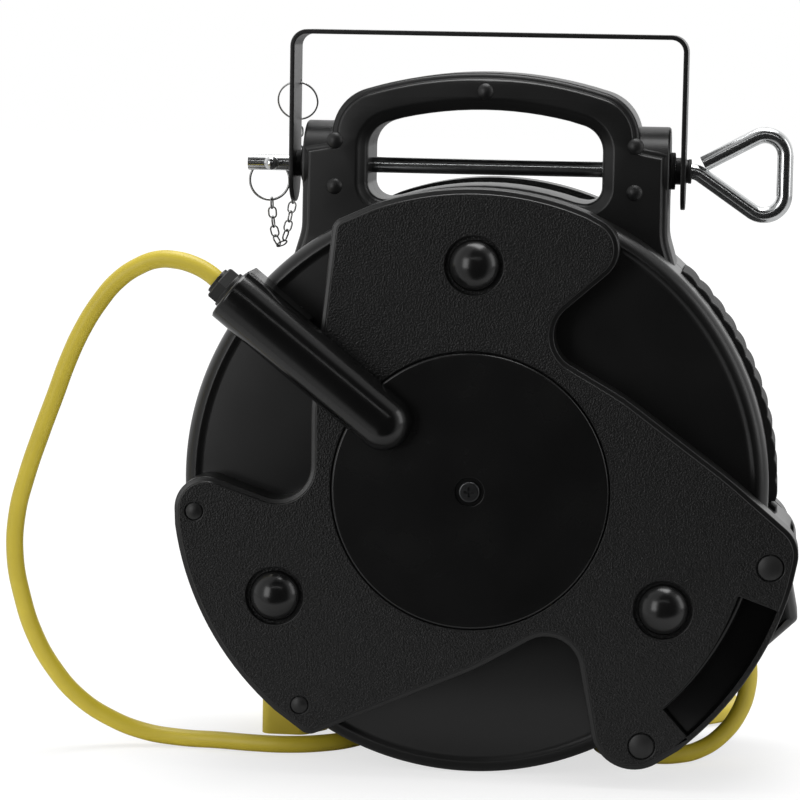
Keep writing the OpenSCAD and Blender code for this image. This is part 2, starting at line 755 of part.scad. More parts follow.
module pawl() {
    reach = norm(pawl_tip - pawl_pivot);
    aim = atan2(pawl_tip[1] - pawl_pivot[1], pawl_tip[0] - pawl_pivot[0]);
    color("#8f9294") upright(spool_back + ratchet_t - 0.5, ratchet_t - 1) translate(pawl_pivot) rotate(aim)
        difference() {
            polygon(rounded([[-6, -4, 3.5], [8, -5, 5], [reach, -1.4, 1], [reach, 1.4, 1], [6, 5, 5], [-6, 4, 3.5]]));
            circle(r = 2.05);
        }
}

module pawl_pin() {
    color("#a8abae") disc_at(pawl_pivot, case_front, ratchet_t + 0.8, 2);
}

module spring_case() {
    color("#9a9c9e") facing_front(drum_half - shell_wall) difference() {
        cylinder(r = case_r, h = drum_half - shell_wall - case_front);
        translate([0, 0, -1]) cylinder(r = case_r - case_wall, h = drum_half - shell_wall - case_front - case_wall + 1);
        translate([0, 0, -1]) cylinder(r = 18, h = 60);
    }
}

// Flat spiral of the rewind spring
module power_spring() {
    coils = 7;
    steps = 18;
    strip = 1;
    r0 = axle_d / 2 + 9;
    r1 = case_r - case_wall - 1.5;
    n = coils * steps;
    color("#5c6470") upright(drum_half - shell_wall - 4, 9.5) union() {
        polygon(concat(
            [for (i = [0:n]) polar(r0 + (r1 - r0) * i / n, 360 * i / steps)],
            [for (i = [n:-1:0]) polar(r0 + (r1 - r0) * i / n - strip, 360 * i / steps)]));
        translate([axle_d / 2 + 0.05, 0]) square([r0 - axle_d / 2 - 0.5, strip]);
    }
}

module feed_cord() {
    from = feed_from + [0, 0, floor_z];
    to = out_pts[0] + [0, 0, floor_z];
    run = to - from;
    color("#c9bc55") translate(from) rotate([0, atan2(run[0], run[2]), 0]) cylinder(d = cord_d, h = norm(run) - feed_gap);
}

// ---------- bracket and pin ----------

module ear_washers() {
    color("#151515") for (s = [-1, 1]) translate([s * ear_x, 0, -pin_drop]) rotate([0, s * 90, 0]) difference() {
        cylinder(d = 22, h = washer_t);
        translate([0, 0, -1]) cylinder(d = pin_d + 0.14, h = washer_t + 2);
    }
}

module bracket() {
    u = [[leg_out, -200, 0], [leg_out, 0, bend_r], [-leg_out, 0, bend_r], [-leg_out, -200, 0],
        [-leg_x, -200, 0], [-leg_x, -strip_t, bend_r - strip_t], [leg_x, -strip_t, bend_r - strip_t], [leg_x, -200, 0]];
    color("#2a2b2c") difference() {
        intersection() {
            translate([0, strip_w / 2, 0]) rotate([90, 0, 0]) linear_extrude(strip_w) polygon(rounded(u));
            union() {
                translate([-200, -strip_w / 2, -pin_drop - leg_end]) cube([400, strip_w, pin_drop + leg_end + 1]);
                translate([-200, 0, -pin_drop - leg_end]) rotate([0, 90, 0]) cylinder(d = strip_w, h = 400);
            }
        }
        for (k = [-1:1]) translate([k * hole_pitch, 0, -10]) cylinder(d = hole_d, h = 20);
        translate([-200, 0, -pin_drop]) rotate([0, 90, 0]) cylinder(r = bush_r, h = 400);
        translate([-leg_out - 1, ring_hole[0], ring_hole[1]]) rotate([0, 90, 0]) cylinder(d = 4, h = strip_t + 2);
    }
}

module leg_bushes() {
    color("#202020") for (s = [-1, 1]) translate([0, 0, -pin_drop]) rotate([0, s * 90, 0]) difference() {
        union() {
            translate([0, 0, ear_x + washer_t + 0.2]) cylinder(d = 16, h = leg_x - ear_x - washer_t - 0.2);
            translate([0, 0, leg_x]) cylinder(r = bush_r, h = strip_t);
            translate([0, 0, leg_out]) cylinder(d = 14, h = 1.3);
        }
        cylinder(d = pin_d + 0.1, h = 200);
    }
}

module hanging_pin() {
    color("#d8dadc") translate([0, 0, -pin_drop]) difference() {
        bent_bar(pull_path, pin_d);
        translate([lynch_x, 20, 0]) rotate([90, 0, 0]) cylinder(d = lynch_d + 0.02, h = 40);
    }
}

module pin_collar() {
    color("#1c1c1c") translate([leg_out + 1.3, 0, -pin_drop]) rotate([0, 90, 0]) difference() {
        cylinder(d = 14.5, h = collar_t - 1);
        translate([0, 0, -1]) cylinder(d = pin_d + 0.1, h = collar_t + 1);
    }
}

module lynch_pin() {
    color("#c9ccce") translate([lynch_x, 0, -pin_drop]) difference() {
        union() {
            translate([0, -pin_d / 2 - 3.6, 0]) sphere(r = 4.3);
            translate([0, -pin_d / 2 - 2, 0]) rotate([-90, 0, 0]) cylinder(d = lynch_d, h = pin_d + 4);
            translate([0, hoop_y - 3.5, 0]) rotate([-90, 0, 0]) cylinder(d = 7.6, h = 7);
        }
        translate([-10, hoop_y, hoop_up]) rotate([0, 90, 0]) cylinder(d = 3, h = 20);
    }
}

module hoop(wire) {
    rotate_extrude() translate([hoop_r, 0]) circle(d = wire, $fn = 24);
}

module lynch_hoop() {
    color("#c9ccce") translate([lynch_x, hoop_y, -pin_drop + hoop_up - hoop_r]) rotate([90, 0, 0]) hoop(hoop_wire);
}

module split_ring() {
    color("#b9bcbe") translate([-leg_x - strip_t / 2, ring_hole[0], ring_hole[1]])
        rotate([ring_lean, 0, 0]) translate([-1.1, 0, 0.05 - ring_r]) rotate([90, 0, 0])
            for (k = [-1, 1]) translate([0, 0, 0.55 * k])
                rotate_extrude() translate([ring_r, 0]) circle(d = 1, $fn = 24);
}

module link() {
    straight = link_len - link_w;
    bend = (link_w - link_wire) / 2;
    for (s = [-1, 1]) {
        translate([0, s * bend, 0]) translate([-straight / 2, 0, 0]) rotate([0, 90, 0])
            cylinder(d = link_wire, h = straight, $fn = 16);
        translate([s * straight / 2, 0, 0]) rotate([0, 0, s * 90 - 180]) rotate_extrude(angle = 180)
            translate([bend, 0]) circle(d = link_wire, $fn = 16);
    }
}

// Distance along a path to each of its points, and the place at a distance
function lengths(p, i = 0, sum = 0) = i == len(p) - 1 ? [sum] :
    concat([sum], lengths(p, i + 1, sum + norm(p[i + 1] - p[i])));
function place(p, s, d, i = 0) = i >= len(p) - 2 || s[i + 1] >= d ?
    p[i] + (p[i + 1] - p[i]) * (d - s[i]) / (s[i + 1] - s[i]) : place(p, s, d, i + 1);

module chain() {
    along = lengths(chain_path);
    total = along[len(along) - 1];
    pitch = link_len - 2 * link_wire - 0.1;
    count = 2 * floor(total / pitch / 2) + 1;
    color("#b9bcbe") for (k = [0:count - 1]) {
        a = place(chain_path, along, k * total / count);
        b = place(chain_path, along, (k + 1) * total / count);
        v = b - a;
        translate((a + b) / 2) rotate([0, -atan2(v[2], norm([v[0], v[1]])), atan2(v[1], v[0])])
            rotate([k % 2 == 0 ? 90 : 0, 0, 0]) link();
    }
}

// ---------- cords and their ends ----------

module on_floor() {
    translate([0, 0, floor_z]) children();
}

module lead_cord() {
    color("#c9bc55") on_floor() swept(lead_pts, cord_d);
}

module output_cord() {
    color("#c9bc55") on_floor() swept(out_pts, cord_d);
}

// Three-pin plug, lying on its side with its nose towards -X
module plug_body() {
    color("#c9bc55") on_floor() translate(plug_at) rotate([0, -90, 0]) difference() {
        union() {
            cylinder(r1 = cord_d / 2 + 1.6, r2 = cord_d / 2 + 3.2, h = 14);
            translate([0, 0, 14]) cylinder(r = 11, h = plug_len - 26);
            translate([0, 0, plug_len - 14]) intersection() {
                cylinder(r = plug_r, h = 14);
                translate([-plug_r, -13.5, 0]) cube([2 * plug_r, 27, 14]);
            }
        }
        for (s = [-1, 1]) translate([-3, s * 6.35 - 0.8, plug_len - 8]) cube([6.6, 1.6, 9]);
        translate([-7.5, 0, plug_len - 8]) cylinder(d = 4.8, h = 9);
    }
}

module plug_blades() {
    color("#c8a85a") on_floor() translate(plug_at) rotate([0, -90, 0]) {
        for (s = [-1, 1]) translate([-2.9, s * 6.35 - 0.75, plug_len - 8]) cube([6.4, 1.5, 25]);
        translate([-7.5, 0, plug_len - 8]) cylinder(d = 4.7, h = 27);
    }
}

// Flat fan-shaped tap with three outlets along its wide face
module tap_body() {
    shape = rounded([[tap_front_x, tap_mid_y + tap_w / 2, 6], [tap_front_x, tap_mid_y - tap_w / 2, 6],
        [tap_back_x - 12, tap_mid_y - tap_w / 2, 8], [tap_back_x, tap_mid_y - 22, 8], [tap_back_x, tap_mid_y + 22, 8],
        [tap_back_x - 12, tap_mid_y + tap_w / 2, 8]]);
    color("#c9bc55") on_floor() difference() {
        union() {
            linear_extrude(tap_h) polygon(shape);
            translate([tap_back_x - 1, tap_at[1], tap_at[2]]) rotate([0, 90, 0])
                cylinder(r1 = 10, r2 = cord_d / 2 + 1.6, h = tap_nose_x - tap_back_x + 1);
        }
        for (k = [-1:1]) translate([tap_front_x, tap_mid_y + outlet_pitch * k, tap_h / 2]) rotate([0, 90, 0]) {
            for (s = [-1, 1]) translate([-4.5, s * 6.35 - 1.1, -1]) cube([8, 2.2, outlet_depth + 1]);
            translate([8.5, 0, -1]) cylinder(d = 5.6, h = outlet_depth + 1);
        }
    }
}

front_shell();
rear_shell();
front_cover();
rear_cover();
inlet_disc();
spring_disc();
disc_screws();
gland_cap();
front_bumpers();
rear_bumpers();
cover_caps();
post_caps();
handle_caps();
case_bolts();
handle_front();
handle_rear();
rub_strip();
cord_lip();
upper_roller();
lower_roller();
roller_axles();
main_axle();
spool_front_half();
spool_rear_half();
spool_bushes();
wound_cord();
slip_rings();
brush_block();
ratchet();
pawl();
pawl_pin();
spring_case();
power_spring();
feed_cord();
ear_washers();
bracket();
leg_bushes();
hanging_pin();
pin_collar();
lynch_pin();
lynch_hoop();
split_ring();
chain();
lead_cord();
plug_body();
plug_blades();
output_cord();
tap_body();
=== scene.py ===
# %% [markdown]
# # A retractable cord reel in its swivel bracket
# The reel is a black drum between two three-lobed covers, with a carry handle that a chromed pin
# hangs in a steel bracket. A yellow cord goes in at the upper left and comes out at the lower right.
# The exact solids are loaded first. They fix every size, and the pieces made here are laid over them.

# %% The frame, and the lengths that everything starts from
import bpy
import bmesh
import math
from mathutils import Matrix, Vector
from mathutils.geometry import tessellate_polygon


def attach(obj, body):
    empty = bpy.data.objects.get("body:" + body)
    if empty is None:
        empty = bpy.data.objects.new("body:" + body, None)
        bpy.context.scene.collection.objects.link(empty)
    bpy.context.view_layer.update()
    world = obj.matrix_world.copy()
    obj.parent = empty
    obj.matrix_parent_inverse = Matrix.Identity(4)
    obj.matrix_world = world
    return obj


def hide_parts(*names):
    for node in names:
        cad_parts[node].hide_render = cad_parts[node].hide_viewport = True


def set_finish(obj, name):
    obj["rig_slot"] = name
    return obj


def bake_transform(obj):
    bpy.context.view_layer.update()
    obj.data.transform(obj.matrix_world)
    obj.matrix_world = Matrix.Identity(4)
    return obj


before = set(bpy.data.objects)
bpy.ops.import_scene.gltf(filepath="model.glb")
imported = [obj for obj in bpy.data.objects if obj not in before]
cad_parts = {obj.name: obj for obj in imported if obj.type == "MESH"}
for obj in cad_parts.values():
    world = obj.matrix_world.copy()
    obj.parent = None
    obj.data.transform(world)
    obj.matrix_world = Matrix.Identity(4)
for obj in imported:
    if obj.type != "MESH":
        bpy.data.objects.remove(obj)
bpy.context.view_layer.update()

MM = 0.001
PIN_Z = -80
AXIS_Z = -264
FLOOR_Z = -436
DRUM_R = 172
DRUM_HALF = 60
COVER_Y = 81
PIN_UP = 184

# %% [markdown]
# ## The camera
# A long lens from a little to the right and above flattens the reel almost to a front view, while
# the right side of the drum and of the bracket still shows. The camera leans by about a degree.

# %% Camera
LENS_MM = 147.6
CAMERA_DISTANCE = 1.979
CAMERA_TARGET = Vector((-0.0505, 0, -0.2215))
CAMERA_TURN, CAMERA_RISE, CAMERA_ROLL = (math.radians(a) for a in (6.43, 6.73, 0.97))


def put(name, data):
    """A new object, linked to the scene."""
    thing = bpy.data.objects.new(name, data)
    bpy.context.collection.objects.link(thing)
    return thing


def place_camera():
    looking = Vector((-math.sin(CAMERA_TURN) * math.cos(CAMERA_RISE),
                      math.cos(CAMERA_TURN) * math.cos(CAMERA_RISE), -math.sin(CAMERA_RISE)))
    level = Vector((math.cos(CAMERA_TURN), math.sin(CAMERA_TURN), 0))
    upright = level.cross(looking)
    right = level * math.cos(CAMERA_ROLL) + upright * math.sin(CAMERA_ROLL)
    up = upright * math.cos(CAMERA_ROLL) - level * math.sin(CAMERA_ROLL)
    camera = put("camera", bpy.data.cameras.new("camera"))
    camera.data.lens = LENS_MM
    camera.data.clip_start, camera.data.clip_end = 0.05, 50
    camera.matrix_world = Matrix.Translation(CAMERA_TARGET - looking * CAMERA_DISTANCE) @ Matrix(
        (right, up, -looking)).transposed().to_4x4()
    bpy.context.scene.camera = camera


place_camera()
print("camera:", LENS_MM, "mm lens,", CAMERA_DISTANCE, "m away")

# %% [markdown]
# ## Materials
# Colours are written as sRGB hex values, the way a paint chart gives them, and one function turns
# them to the linear values that a shader works in. One more function adds a node with its settings
# and its links, so that each material reads as a list of what lies on the surface.

# %% Helpers for materials


def linear(hex_colour):
    channels = [int(hex_colour[i:i + 2], 16) / 255 for i in (1, 3, 5)]
    return tuple(c / 12.92 if c <= 0.04045 else ((c + 0.055) / 1.055) ** 2.4 for c in channels) + (1,)


def add(tree, kind, links=None, **settings):
    """A node with its settings. In links, a socket's name leads to a socket to link, or to a plain value."""
    node = tree.nodes.new(kind)
    for setting, value in settings.items():
        setattr(node, setting, value)
    for name, source in (links or {}).items():
        if isinstance(source, bpy.types.NodeSocket):
            tree.links.new(source, node.inputs[name])
        else:
            node.inputs[name].default_value = source
    return node


def new_material(name):
    """An empty node material, with its tree and the object's own coordinates."""
    material = bpy.data.materials.new(name)
    material.use_nodes = True
    tree = material.node_tree
    tree.nodes.clear()
    place = add(tree, "ShaderNodeTexCoord").outputs["Object"]
    return material, tree, place


# A Mix node's colour sockets share their names with its other sockets, so they go by number.
MIX_DARK, MIX_LIGHT, MIX_RESULT = 6, 7, 2

# %% [markdown]
# Injection-moulded ABS copies the tool. The drum and the handle come from a polished tool that has
# gone slightly dull, so a highlight on them is wide and soft, with faint clouds in it. Noise at a
# few centimetres gives the clouds, and at half a millimetre the last trace of the tool's texture.
# The other black mouldings are the same surface with another polish, so one function makes them all.

# %% Moulded black plastics
CLOUD_MM = 35


def moulded_plastic(name, dark, light, roughness, texture_mm=0.6, depth_mm=0.004, ior=1.53):
    material, tree, place = new_material(name)
    clouds = add(tree, "ShaderNodeTexNoise", {"Vector": place, "Scale": 1 / (CLOUD_MM * MM), "Detail": 3.0})
    fine = add(tree, "ShaderNodeTexNoise", {"Vector": place, "Scale": 1 / (texture_mm * MM), "Detail": 2.0})
    relief = add(tree, "ShaderNodeBump",
                 {"Height": fine.outputs["Fac"], "Distance": depth_mm * MM, "Strength": 0.8})
    tone = add(tree, "ShaderNodeMix",
               {0: clouds.outputs["Fac"], MIX_DARK: linear(dark), MIX_LIGHT: linear(light)}, data_type="RGBA")
    polish = add(tree, "ShaderNodeMapRange", {"Value": clouds.outputs["Fac"], "To Min": roughness - 0.05,
                                              "To Max": roughness + 0.06})
    shader = add(tree, "ShaderNodeBsdfPrincipled",
                 {"Base Color": tone.outputs[MIX_RESULT], "Roughness": polish.outputs["Result"], "IOR": ior,
                  "Normal": relief.outputs["Normal"]})
    add(tree, "ShaderNodeOutputMaterial", {"Surface": shader.outputs["BSDF"]})
    return material


# ABS from a polished tool gone dull: the drum's highlights are wide and soft.
satin_abs = moulded_plastic("satin_black_abs", "#0a0a0a", "#0f0f0f", 0.30)
# ABS from a tool polished once more: the discs are a shade deeper and catch the light sooner.
disc_abs = moulded_plastic("smooth_black_abs", "#080808", "#0c0c0c", 0.26)
# The covers' sides and bevels, which have no grain: a thin dull line of light along each edge.
edge_abs = moulded_plastic("cover_edge_abs", "#0b0b0b", "#101010", 0.34)
# The pocket is deep and gets little light. Its colour is darker than the other mouldings'
# as painted shade, so it stays the darkest place on the face.
pocket_shade_abs = moulded_plastic("pocket_painted_shade_abs", "#040404", "#060606", 0.2, ior=1.4)
# The inlet comes from the glossiest tool: narrow, clear streaks run along its round top.
inlet_abs = moulded_plastic("inlet_black_abs", "#080808", "#0c0c0c", 0.18)
# The handle is worn by hands, so it is a little greyer and duller than the drum.
handle_abs = moulded_plastic("handle_black_abs", "#0c0c0c", "#121212", 0.36)
# Nylon is naturally duller than ABS: the caps look grey beside the covers.
post_plastic = moulded_plastic("post_cap_nylon", "#131313", "#191919", 0.45)
cap_plastic = moulded_plastic("cap_black_nylon", "#0d0d0d", "#131313", 0.42)
# Moulded rubber from a polished tool: the bumpers show small bright spots on their domes.
bumper_rubber = moulded_plastic("bumper_black_rubber", "#0b0b0b", "#101010", 0.2)
# Rubber from a blasted tool: no clear highlight at all.
matt_rubber = moulded_plastic("black_rubber", "#0c0c0c", "#141414", 0.62, texture_mm=0.9, depth_mm=0.01,
                              ior=1.5)
# Filled nylon for the spool and rollers: dark grey, so the inside reads behind the window.
inner_plastic = moulded_plastic("spool_dark_plastic", "#202020", "#2a2a2a", 0.5)
print("moulded plastics:", len(bpy.data.materials))

# %% [markdown]
# The covers are moulded against an etched tool, which leaves a fine leather grain: shallow pits
# about a millimetre across, with flats between. Noise of one octave gives such a surface. Its
# middle values are stretched over the whole range, so a pit has a clear rim, and the same value
# makes a pit duller than a flat and darker in colour, which is painted shade in the pits. A real
# grain is shallower; this one is deep enough to show.

# %% Leather-grained cover plastic
GRAIN_MM, GRAIN_DEPTH_MM = 1.05, 0.28


def grained_plastic(name, dark, light):
    material, tree, place = new_material(name)
    pits = add(tree, "ShaderNodeTexNoise", {"Vector": place, "Scale": 1 / (GRAIN_MM * MM), "Detail": 1.0})
    height = add(tree, "ShaderNodeMapRange",
                 {"Value": pits.outputs["Fac"], "From Min": 0.3, "From Max": 0.7}).outputs["Result"]
    relief = add(tree, "ShaderNodeBump", {"Height": height, "Distance": GRAIN_DEPTH_MM * MM, "Strength": 1.0})
    # The colour follows the height, so the pits are darker: painted shade in the pits.
    tone = add(tree, "ShaderNodeMix", {0: height, MIX_DARK: linear(dark), MIX_LIGHT: linear(light)},
               data_type="RGBA")
    polish = add(tree, "ShaderNodeMapRange", {"Value": height, "To Min": 0.55, "To Max": 0.3})
    shader = add(tree, "ShaderNodeBsdfPrincipled",
                 {"Base Color": tone.outputs[MIX_RESULT], "Roughness": polish.outputs["Result"], "IOR": 1.53,
                  "Specular IOR Level": 0.36, "Normal": relief.outputs["Normal"]})
    add(tree, "ShaderNodeOutputMaterial", {"Surface": shader.outputs["BSDF"]})
    return material


cover_grain_and_pit_shade = grained_plastic("leather_grain_pit_shade_abs", "#020202", "#141414")
print("grain:", GRAIN_MM, "mm across,", GRAIN_DEPTH_MM, "mm deep")

# %% [markdown]
# Soft PVC cord jacket: an extruded skin with a soft sheen. It takes a little dirt, so a large faint
# noise moves the yellow, and the extrusion leaves a very fine texture.

# %% Yellow jacket and moulded ends
STAIN_MM, SKIN_MM = 22, 0.8


def yellow_pvc(name, dark, light, roughness):
    material, tree, place = new_material(name)
    stain = add(tree, "ShaderNodeTexNoise", {"Vector": place, "Scale": 1 / (STAIN_MM * MM), "Detail": 5.0})
    skin = add(tree, "ShaderNodeTexNoise", {"Vector": place, "Scale": 1 / (SKIN_MM * MM), "Detail": 2.0})
    relief = add(tree, "ShaderNodeBump",
                 {"Height": skin.outputs["Fac"], "Distance": 0.02 * MM, "Strength": 0.6})
    tone = add(tree, "ShaderNodeMix",
               {0: stain.outputs["Fac"], MIX_DARK: linear(dark), MIX_LIGHT: linear(light)}, data_type="RGBA")
    polish = add(tree, "ShaderNodeMapRange", {"Value": skin.outputs["Fac"], "To Min": roughness - 0.05,
                                              "To Max": roughness + 0.08})
    shader = add(tree, "ShaderNodeBsdfPrincipled",
                 {"Base Color": tone.outputs[MIX_RESULT], "Roughness": polish.outputs["Result"], "IOR": 1.52,
                  "Normal": relief.outputs["Normal"]})
    add(tree, "ShaderNodeOutputMaterial", {"Surface": shader.outputs["BSDF"]})
    return material


# Extruded PVC: a soft sheen runs along the jacket.
jacket = yellow_pvc("yellow_pvc_jacket", "#b8a42a", "#d0bc38", 0.42)
# Moulded PVC: a little lighter and duller than the jacket.
moulded_yellow = yellow_pvc("yellow_pvc_moulding", "#bca82c", "#d2be3c", 0.48)
print("yellow finishes:", jacket.name, moulded_yellow.name)

# %% [markdown]
# Metals: bright chrome over drawn steel for the pin, nickel for the chain and the rings, zinc for
# the bolts, and blackened steel for the screws. Drawing and turning leave fine lines, so the noise is
# stretched along one axis. The lines are drawn about a millimetre apart, coarser than the real ones,
# which are too fine to show.

# %% Metals
LINE_STRETCH = (0.08, 1, 1)
LINE_MM, LINE_DEPTH_MM = 1.2, 0.003


def plated_metal(name, dark, light, roughness):
    material, tree, place = new_material(name)
    drawn = add(tree, "ShaderNodeMapping", {"Vector": place, "Scale": LINE_STRETCH})
    noise = add(tree, "ShaderNodeTexNoise",
                {"Vector": drawn.outputs["Vector"], "Scale": 1 / (LINE_MM * MM), "Detail": 3.0})
    lines = noise.outputs["Fac"]
    relief = add(tree, "ShaderNodeBump", {"Height": lines, "Distance": LINE_DEPTH_MM * MM, "Strength": 0.7})
    tone = add(tree, "ShaderNodeMix", {0: lines, MIX_DARK: linear(dark), MIX_LIGHT: linear(light)},
               data_type="RGBA")
    polish = add(tree, "ShaderNodeMapRange",
                 {"Value": lines, "To Min": roughness - 0.04, "To Max": roughness + 0.08})
    shader = add(tree, "ShaderNodeBsdfPrincipled",
                 {"Base Color": tone.outputs[MIX_RESULT], "Metallic": 1.0,
                  "Roughness": polish.outputs["Result"], "Normal": relief.outputs["Normal"]})
    add(tree, "ShaderNodeOutputMaterial", {"Surface": shader.outputs["BSDF"]})
    return material


# Bright chrome: near white, with sharp reflections of the studio.
chrome = plated_metal("chrome_plate", "#c9cbcc", "#e6e7e7", 0.16)
# Nickel on thin wire: greyer and warmer than chrome.
nickel = plated_metal("nickel_wire", "#8f9090", "#b4b4b2", 0.2)
# Passivated zinc: a dull, bluish grey.
zinc = plated_metal("zinc_plate", "#8c8e90", "#b2b4b5", 0.3)
# Steel blackened in oil: a dark metal that still glints.
black_steel = plated_metal("blackened_steel", "#4a4b4c", "#626364", 0.3)
# Bare turned copper on the slip rings, and plated brass on the plug's blades and the bushes.
copper = plated_metal("turned_copper", "#a86b45", "#c98a5e", 0.25)
brass = plated_metal("plated_brass", "#b39a5c", "#cdb67a", 0.25)
print("metals:", chrome.name, nickel.name, zinc.name, black_steel.name, copper.name, brass.name)

# %% [markdown]
# The bracket has a powder coat, which is paint over metal and so isn't metallic. Baked powder flows
# together to a skin with a faint orange peel, a wave every couple of millimetres, and that breaks
# the bracket's highlights up a little.

# %% Powder coat
PEEL_MM = 1.6


def powder_coat(name, dark, light):
    material, tree, place = new_material(name)
    peel = add(tree, "ShaderNodeTexNoise",
               {"Vector": place, "Scale": 1 / (PEEL_MM * MM), "Detail": 2.0}).outputs["Fac"]
    relief = add(tree, "ShaderNodeBump", {"Height": peel, "Distance": 0.03 * MM, "Strength": 0.7})
    tone = add(tree, "ShaderNodeMix", {0: peel, MIX_DARK: linear(dark), MIX_LIGHT: linear(light)},
               data_type="RGBA")
    polish = add(tree, "ShaderNodeMapRange", {"Value": peel, "To Min": 0.30, "To Max": 0.44})
    shader = add(tree, "ShaderNodeBsdfPrincipled",
                 {"Base Color": tone.outputs[MIX_RESULT], "Roughness": polish.outputs["Result"], "IOR": 1.5,
                  "Normal": relief.outputs["Normal"]})
    add(tree, "ShaderNodeOutputMaterial", {"Surface": shader.outputs["BSDF"]})
    return material


bracket_coat = powder_coat("black_powder_coat", "#0c0c0c", "#121212")
print("paint:", bracket_coat.name)

# %% [markdown]
# ## The cords
# A free cord is a curve through the same points as the solid's route, with a round
# bevel for its thickness. Automatic Bezier handles make it run smoothly through each point.

# %% Routes, in millimetres above the floor
CORD_D = 10.4
LEAD_POINTS = [
    (-147.2, -82, 289.6), (-154, -82, 295), (-163, -82, 299.5), (-173, -82, 302), (-184, -81.5, 302),
    (-196, -81, 297.5), (-208, -80, 289), (-219, -79, 276), (-229, -78, 260), (-238, -76, 241),
    (-246, -74, 220), (-255, -71, 197), (-264, -68, 172), (-271, -64, 147), (-273, -60, 121),
    (-270, -54, 96), (-264, -47, 72), (-254, -39, 50), (-240, -31, 31), (-222, -23, 17),
    (-202, -18, 8.5), (-180, -17, 5.4), (-155, -20, 5.4), (-132, -24, 5.4), (-112, -24, 5.4),
    (-93, -17, 5.4), (-78, -4, 5.4), (-69, 14, 5.4), (-66, 34, 5.4), (-64, 54, 5.4),
    (-54, 72, 5.4), (-36, 84, 5.4), (-14, 89, 5.4), (20, 90, 5.4), (60, 90, 5.4),
    (98, 91, 5.4), (122, 96, 5.4), (142, 109, 5.4), (153, 128, 5.4), (153, 150, 5.4),
    (142, 167, 6.5), (124, 176, 9), (104, 179, 12), (88, 179, 14.5), (76, 179, 15)]
OUTPUT_POINTS = [
    (139, 0, 133), (147, 0, 113), (154, 0, 96), (159.4, 1, 79), (163.1, 2, 62),
    (163, 3, 46), (158.5, 3, 31), (149, 1, 17.5), (136, -3, 8.5), (121, -9, 5.4),
    (104, -11, 5.4), (87, -5, 5.4), (76, 9, 5.4), (73.5, 27, 5.4), (71, 43, 5.4),
    (64, 57, 5.4), (51, 66.5, 5.4), (31, 68.5, 5.4), (8, 68, 5.6), (-14, 68, 8), (-34, 68, 13),
    (-48, 68, 16.2), (-60, 68, 16), (-71.4, 68, 15)]


def on_floor(point):
    return Vector((point[0], point[1], point[2] + FLOOR_Z)) * MM


def dress(piece, body, slot, replaced=()):
    """Hides the solids that the piece stands for, sets its finish slot, and attaches it to the body that
    carries it.
    """
    if replaced:
        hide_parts(*replaced)
    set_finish(piece, slot)
    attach(piece, body)
    return piece


def lay_cord(name, points, node):
    curve = bpy.data.curves.new(name, "CURVE")
    curve.dimensions = "3D"
    spline = curve.splines.new("BEZIER")
    spline.bezier_points.add(len(points) - 1)
    for knot, point in zip(spline.bezier_points, points):
        knot.co = on_floor(point)
        knot.handle_left_type = knot.handle_right_type = "AUTO"
    curve.bevel_depth = CORD_D / 2 * MM
    curve.bevel_resolution = 7
    curve.resolution_u = 8
    curve.use_fill_caps = True
    curve.materials.append(jacket)
    cord = dress(put(name, curve), "housing", "cord", [node])


lay_cord("lead_in_cord", LEAD_POINTS, "lead_cord")
lay_cord("tap_cord", OUTPUT_POINTS, "output_cord")

# %% [markdown]
# ## Outlines
# Most of the reel is flat mouldings whose outline matters more than anything else. An outline is a
# short list of corners, each with a rounding, and one function puts the arcs in. A second function
# moves an outline inwards along its normals, which is how edges are rounded and walls made.

# %% Outline helpers, in millimetres about the spool's axis


def polar(radius, angle):
    return Vector((radius * math.cos(math.radians(angle)), radius * math.sin(math.radians(angle))))


def arc(radius, first, last, steps):
    return [polar(radius, first + (last - first) * i / steps) for i in range(steps + 1)]


def turned(point, angle):
    return Matrix.Rotation(math.radians(angle), 2) @ Vector(point)


def corner(point, rounding=0):
    return (point[0], point[1], rounding)


def arc_at(before, here, after, radius, step=6):
    """The rounding of one corner, as points. Where the line doesn't turn, the corner stays."""
    a, b = (here - before).normalized(), (after - here).normalized()
    turn = math.atan2(a.x * b.y - a.y * b.x, a.dot(b))
    if radius <= 0 or abs(turn) < 0.01:
        return [here]
    start = here - a * radius * math.tan(abs(turn) / 2)
    middle = start + Vector((-a.y, a.x)) * radius * (1 if turn > 0 else -1)
    steps = max(1, math.ceil(abs(math.degrees(turn)) / step))
    return [middle + Matrix.Rotation(turn * k / steps, 2) @ (start - middle) for k in range(steps + 1)]


def rounded(corners):
    """The closed outline through corners (x, up, rounding)."""
    flat = [Vector(c[:2]) for c in corners]
    points = []
    for i, here in enumerate(flat):
        points += arc_at(flat[i - 1], here, flat[(i + 1) % len(flat)], corners[i][2])
    return points


def inset(outline, distance):
    """An anticlockwise closed outline, moved inwards."""
    moved = []
    for i, here in enumerate(outline):
        before = (here - outline[i - 1]).normalized()
        after = (outline[(i + 1) % len(outline)] - here).normalized()
        bisector = (before + after).normalized()
        spread = max(0.5, math.sqrt(max(0.0, (1 + before.dot(after)) / 2)))
        moved.append(here + Vector((-bisector.y, bisector.x)) * distance / spread)
    return moved


def circle(centre, radius, steps=64):
    return [Vector(centre) + polar(radius, 360 * k / steps) for k in range(steps)]


print("a rounded 10 mm square has", len(rounded([(0, 0, 2), (10, 0, 2), (10, 10, 2), (0, 10, 2)])), "points")

# %% [markdown]
# A flat moulding is built row by row. Each row is the outline, moved inwards a little and set at
# some depth, so a list of rows is the section of the moulding's edge: straight wall, rounding, step.
# The last row is filled flat. A hole has rows of its own. This gives every edge the rounding of the
# real one, which Bevel can't be trusted to do on outlines with thin necks. A round piece is a
# section turned about an axis, as on a lathe.

# %% Slabs and lathed pieces


WELD = 1e-7


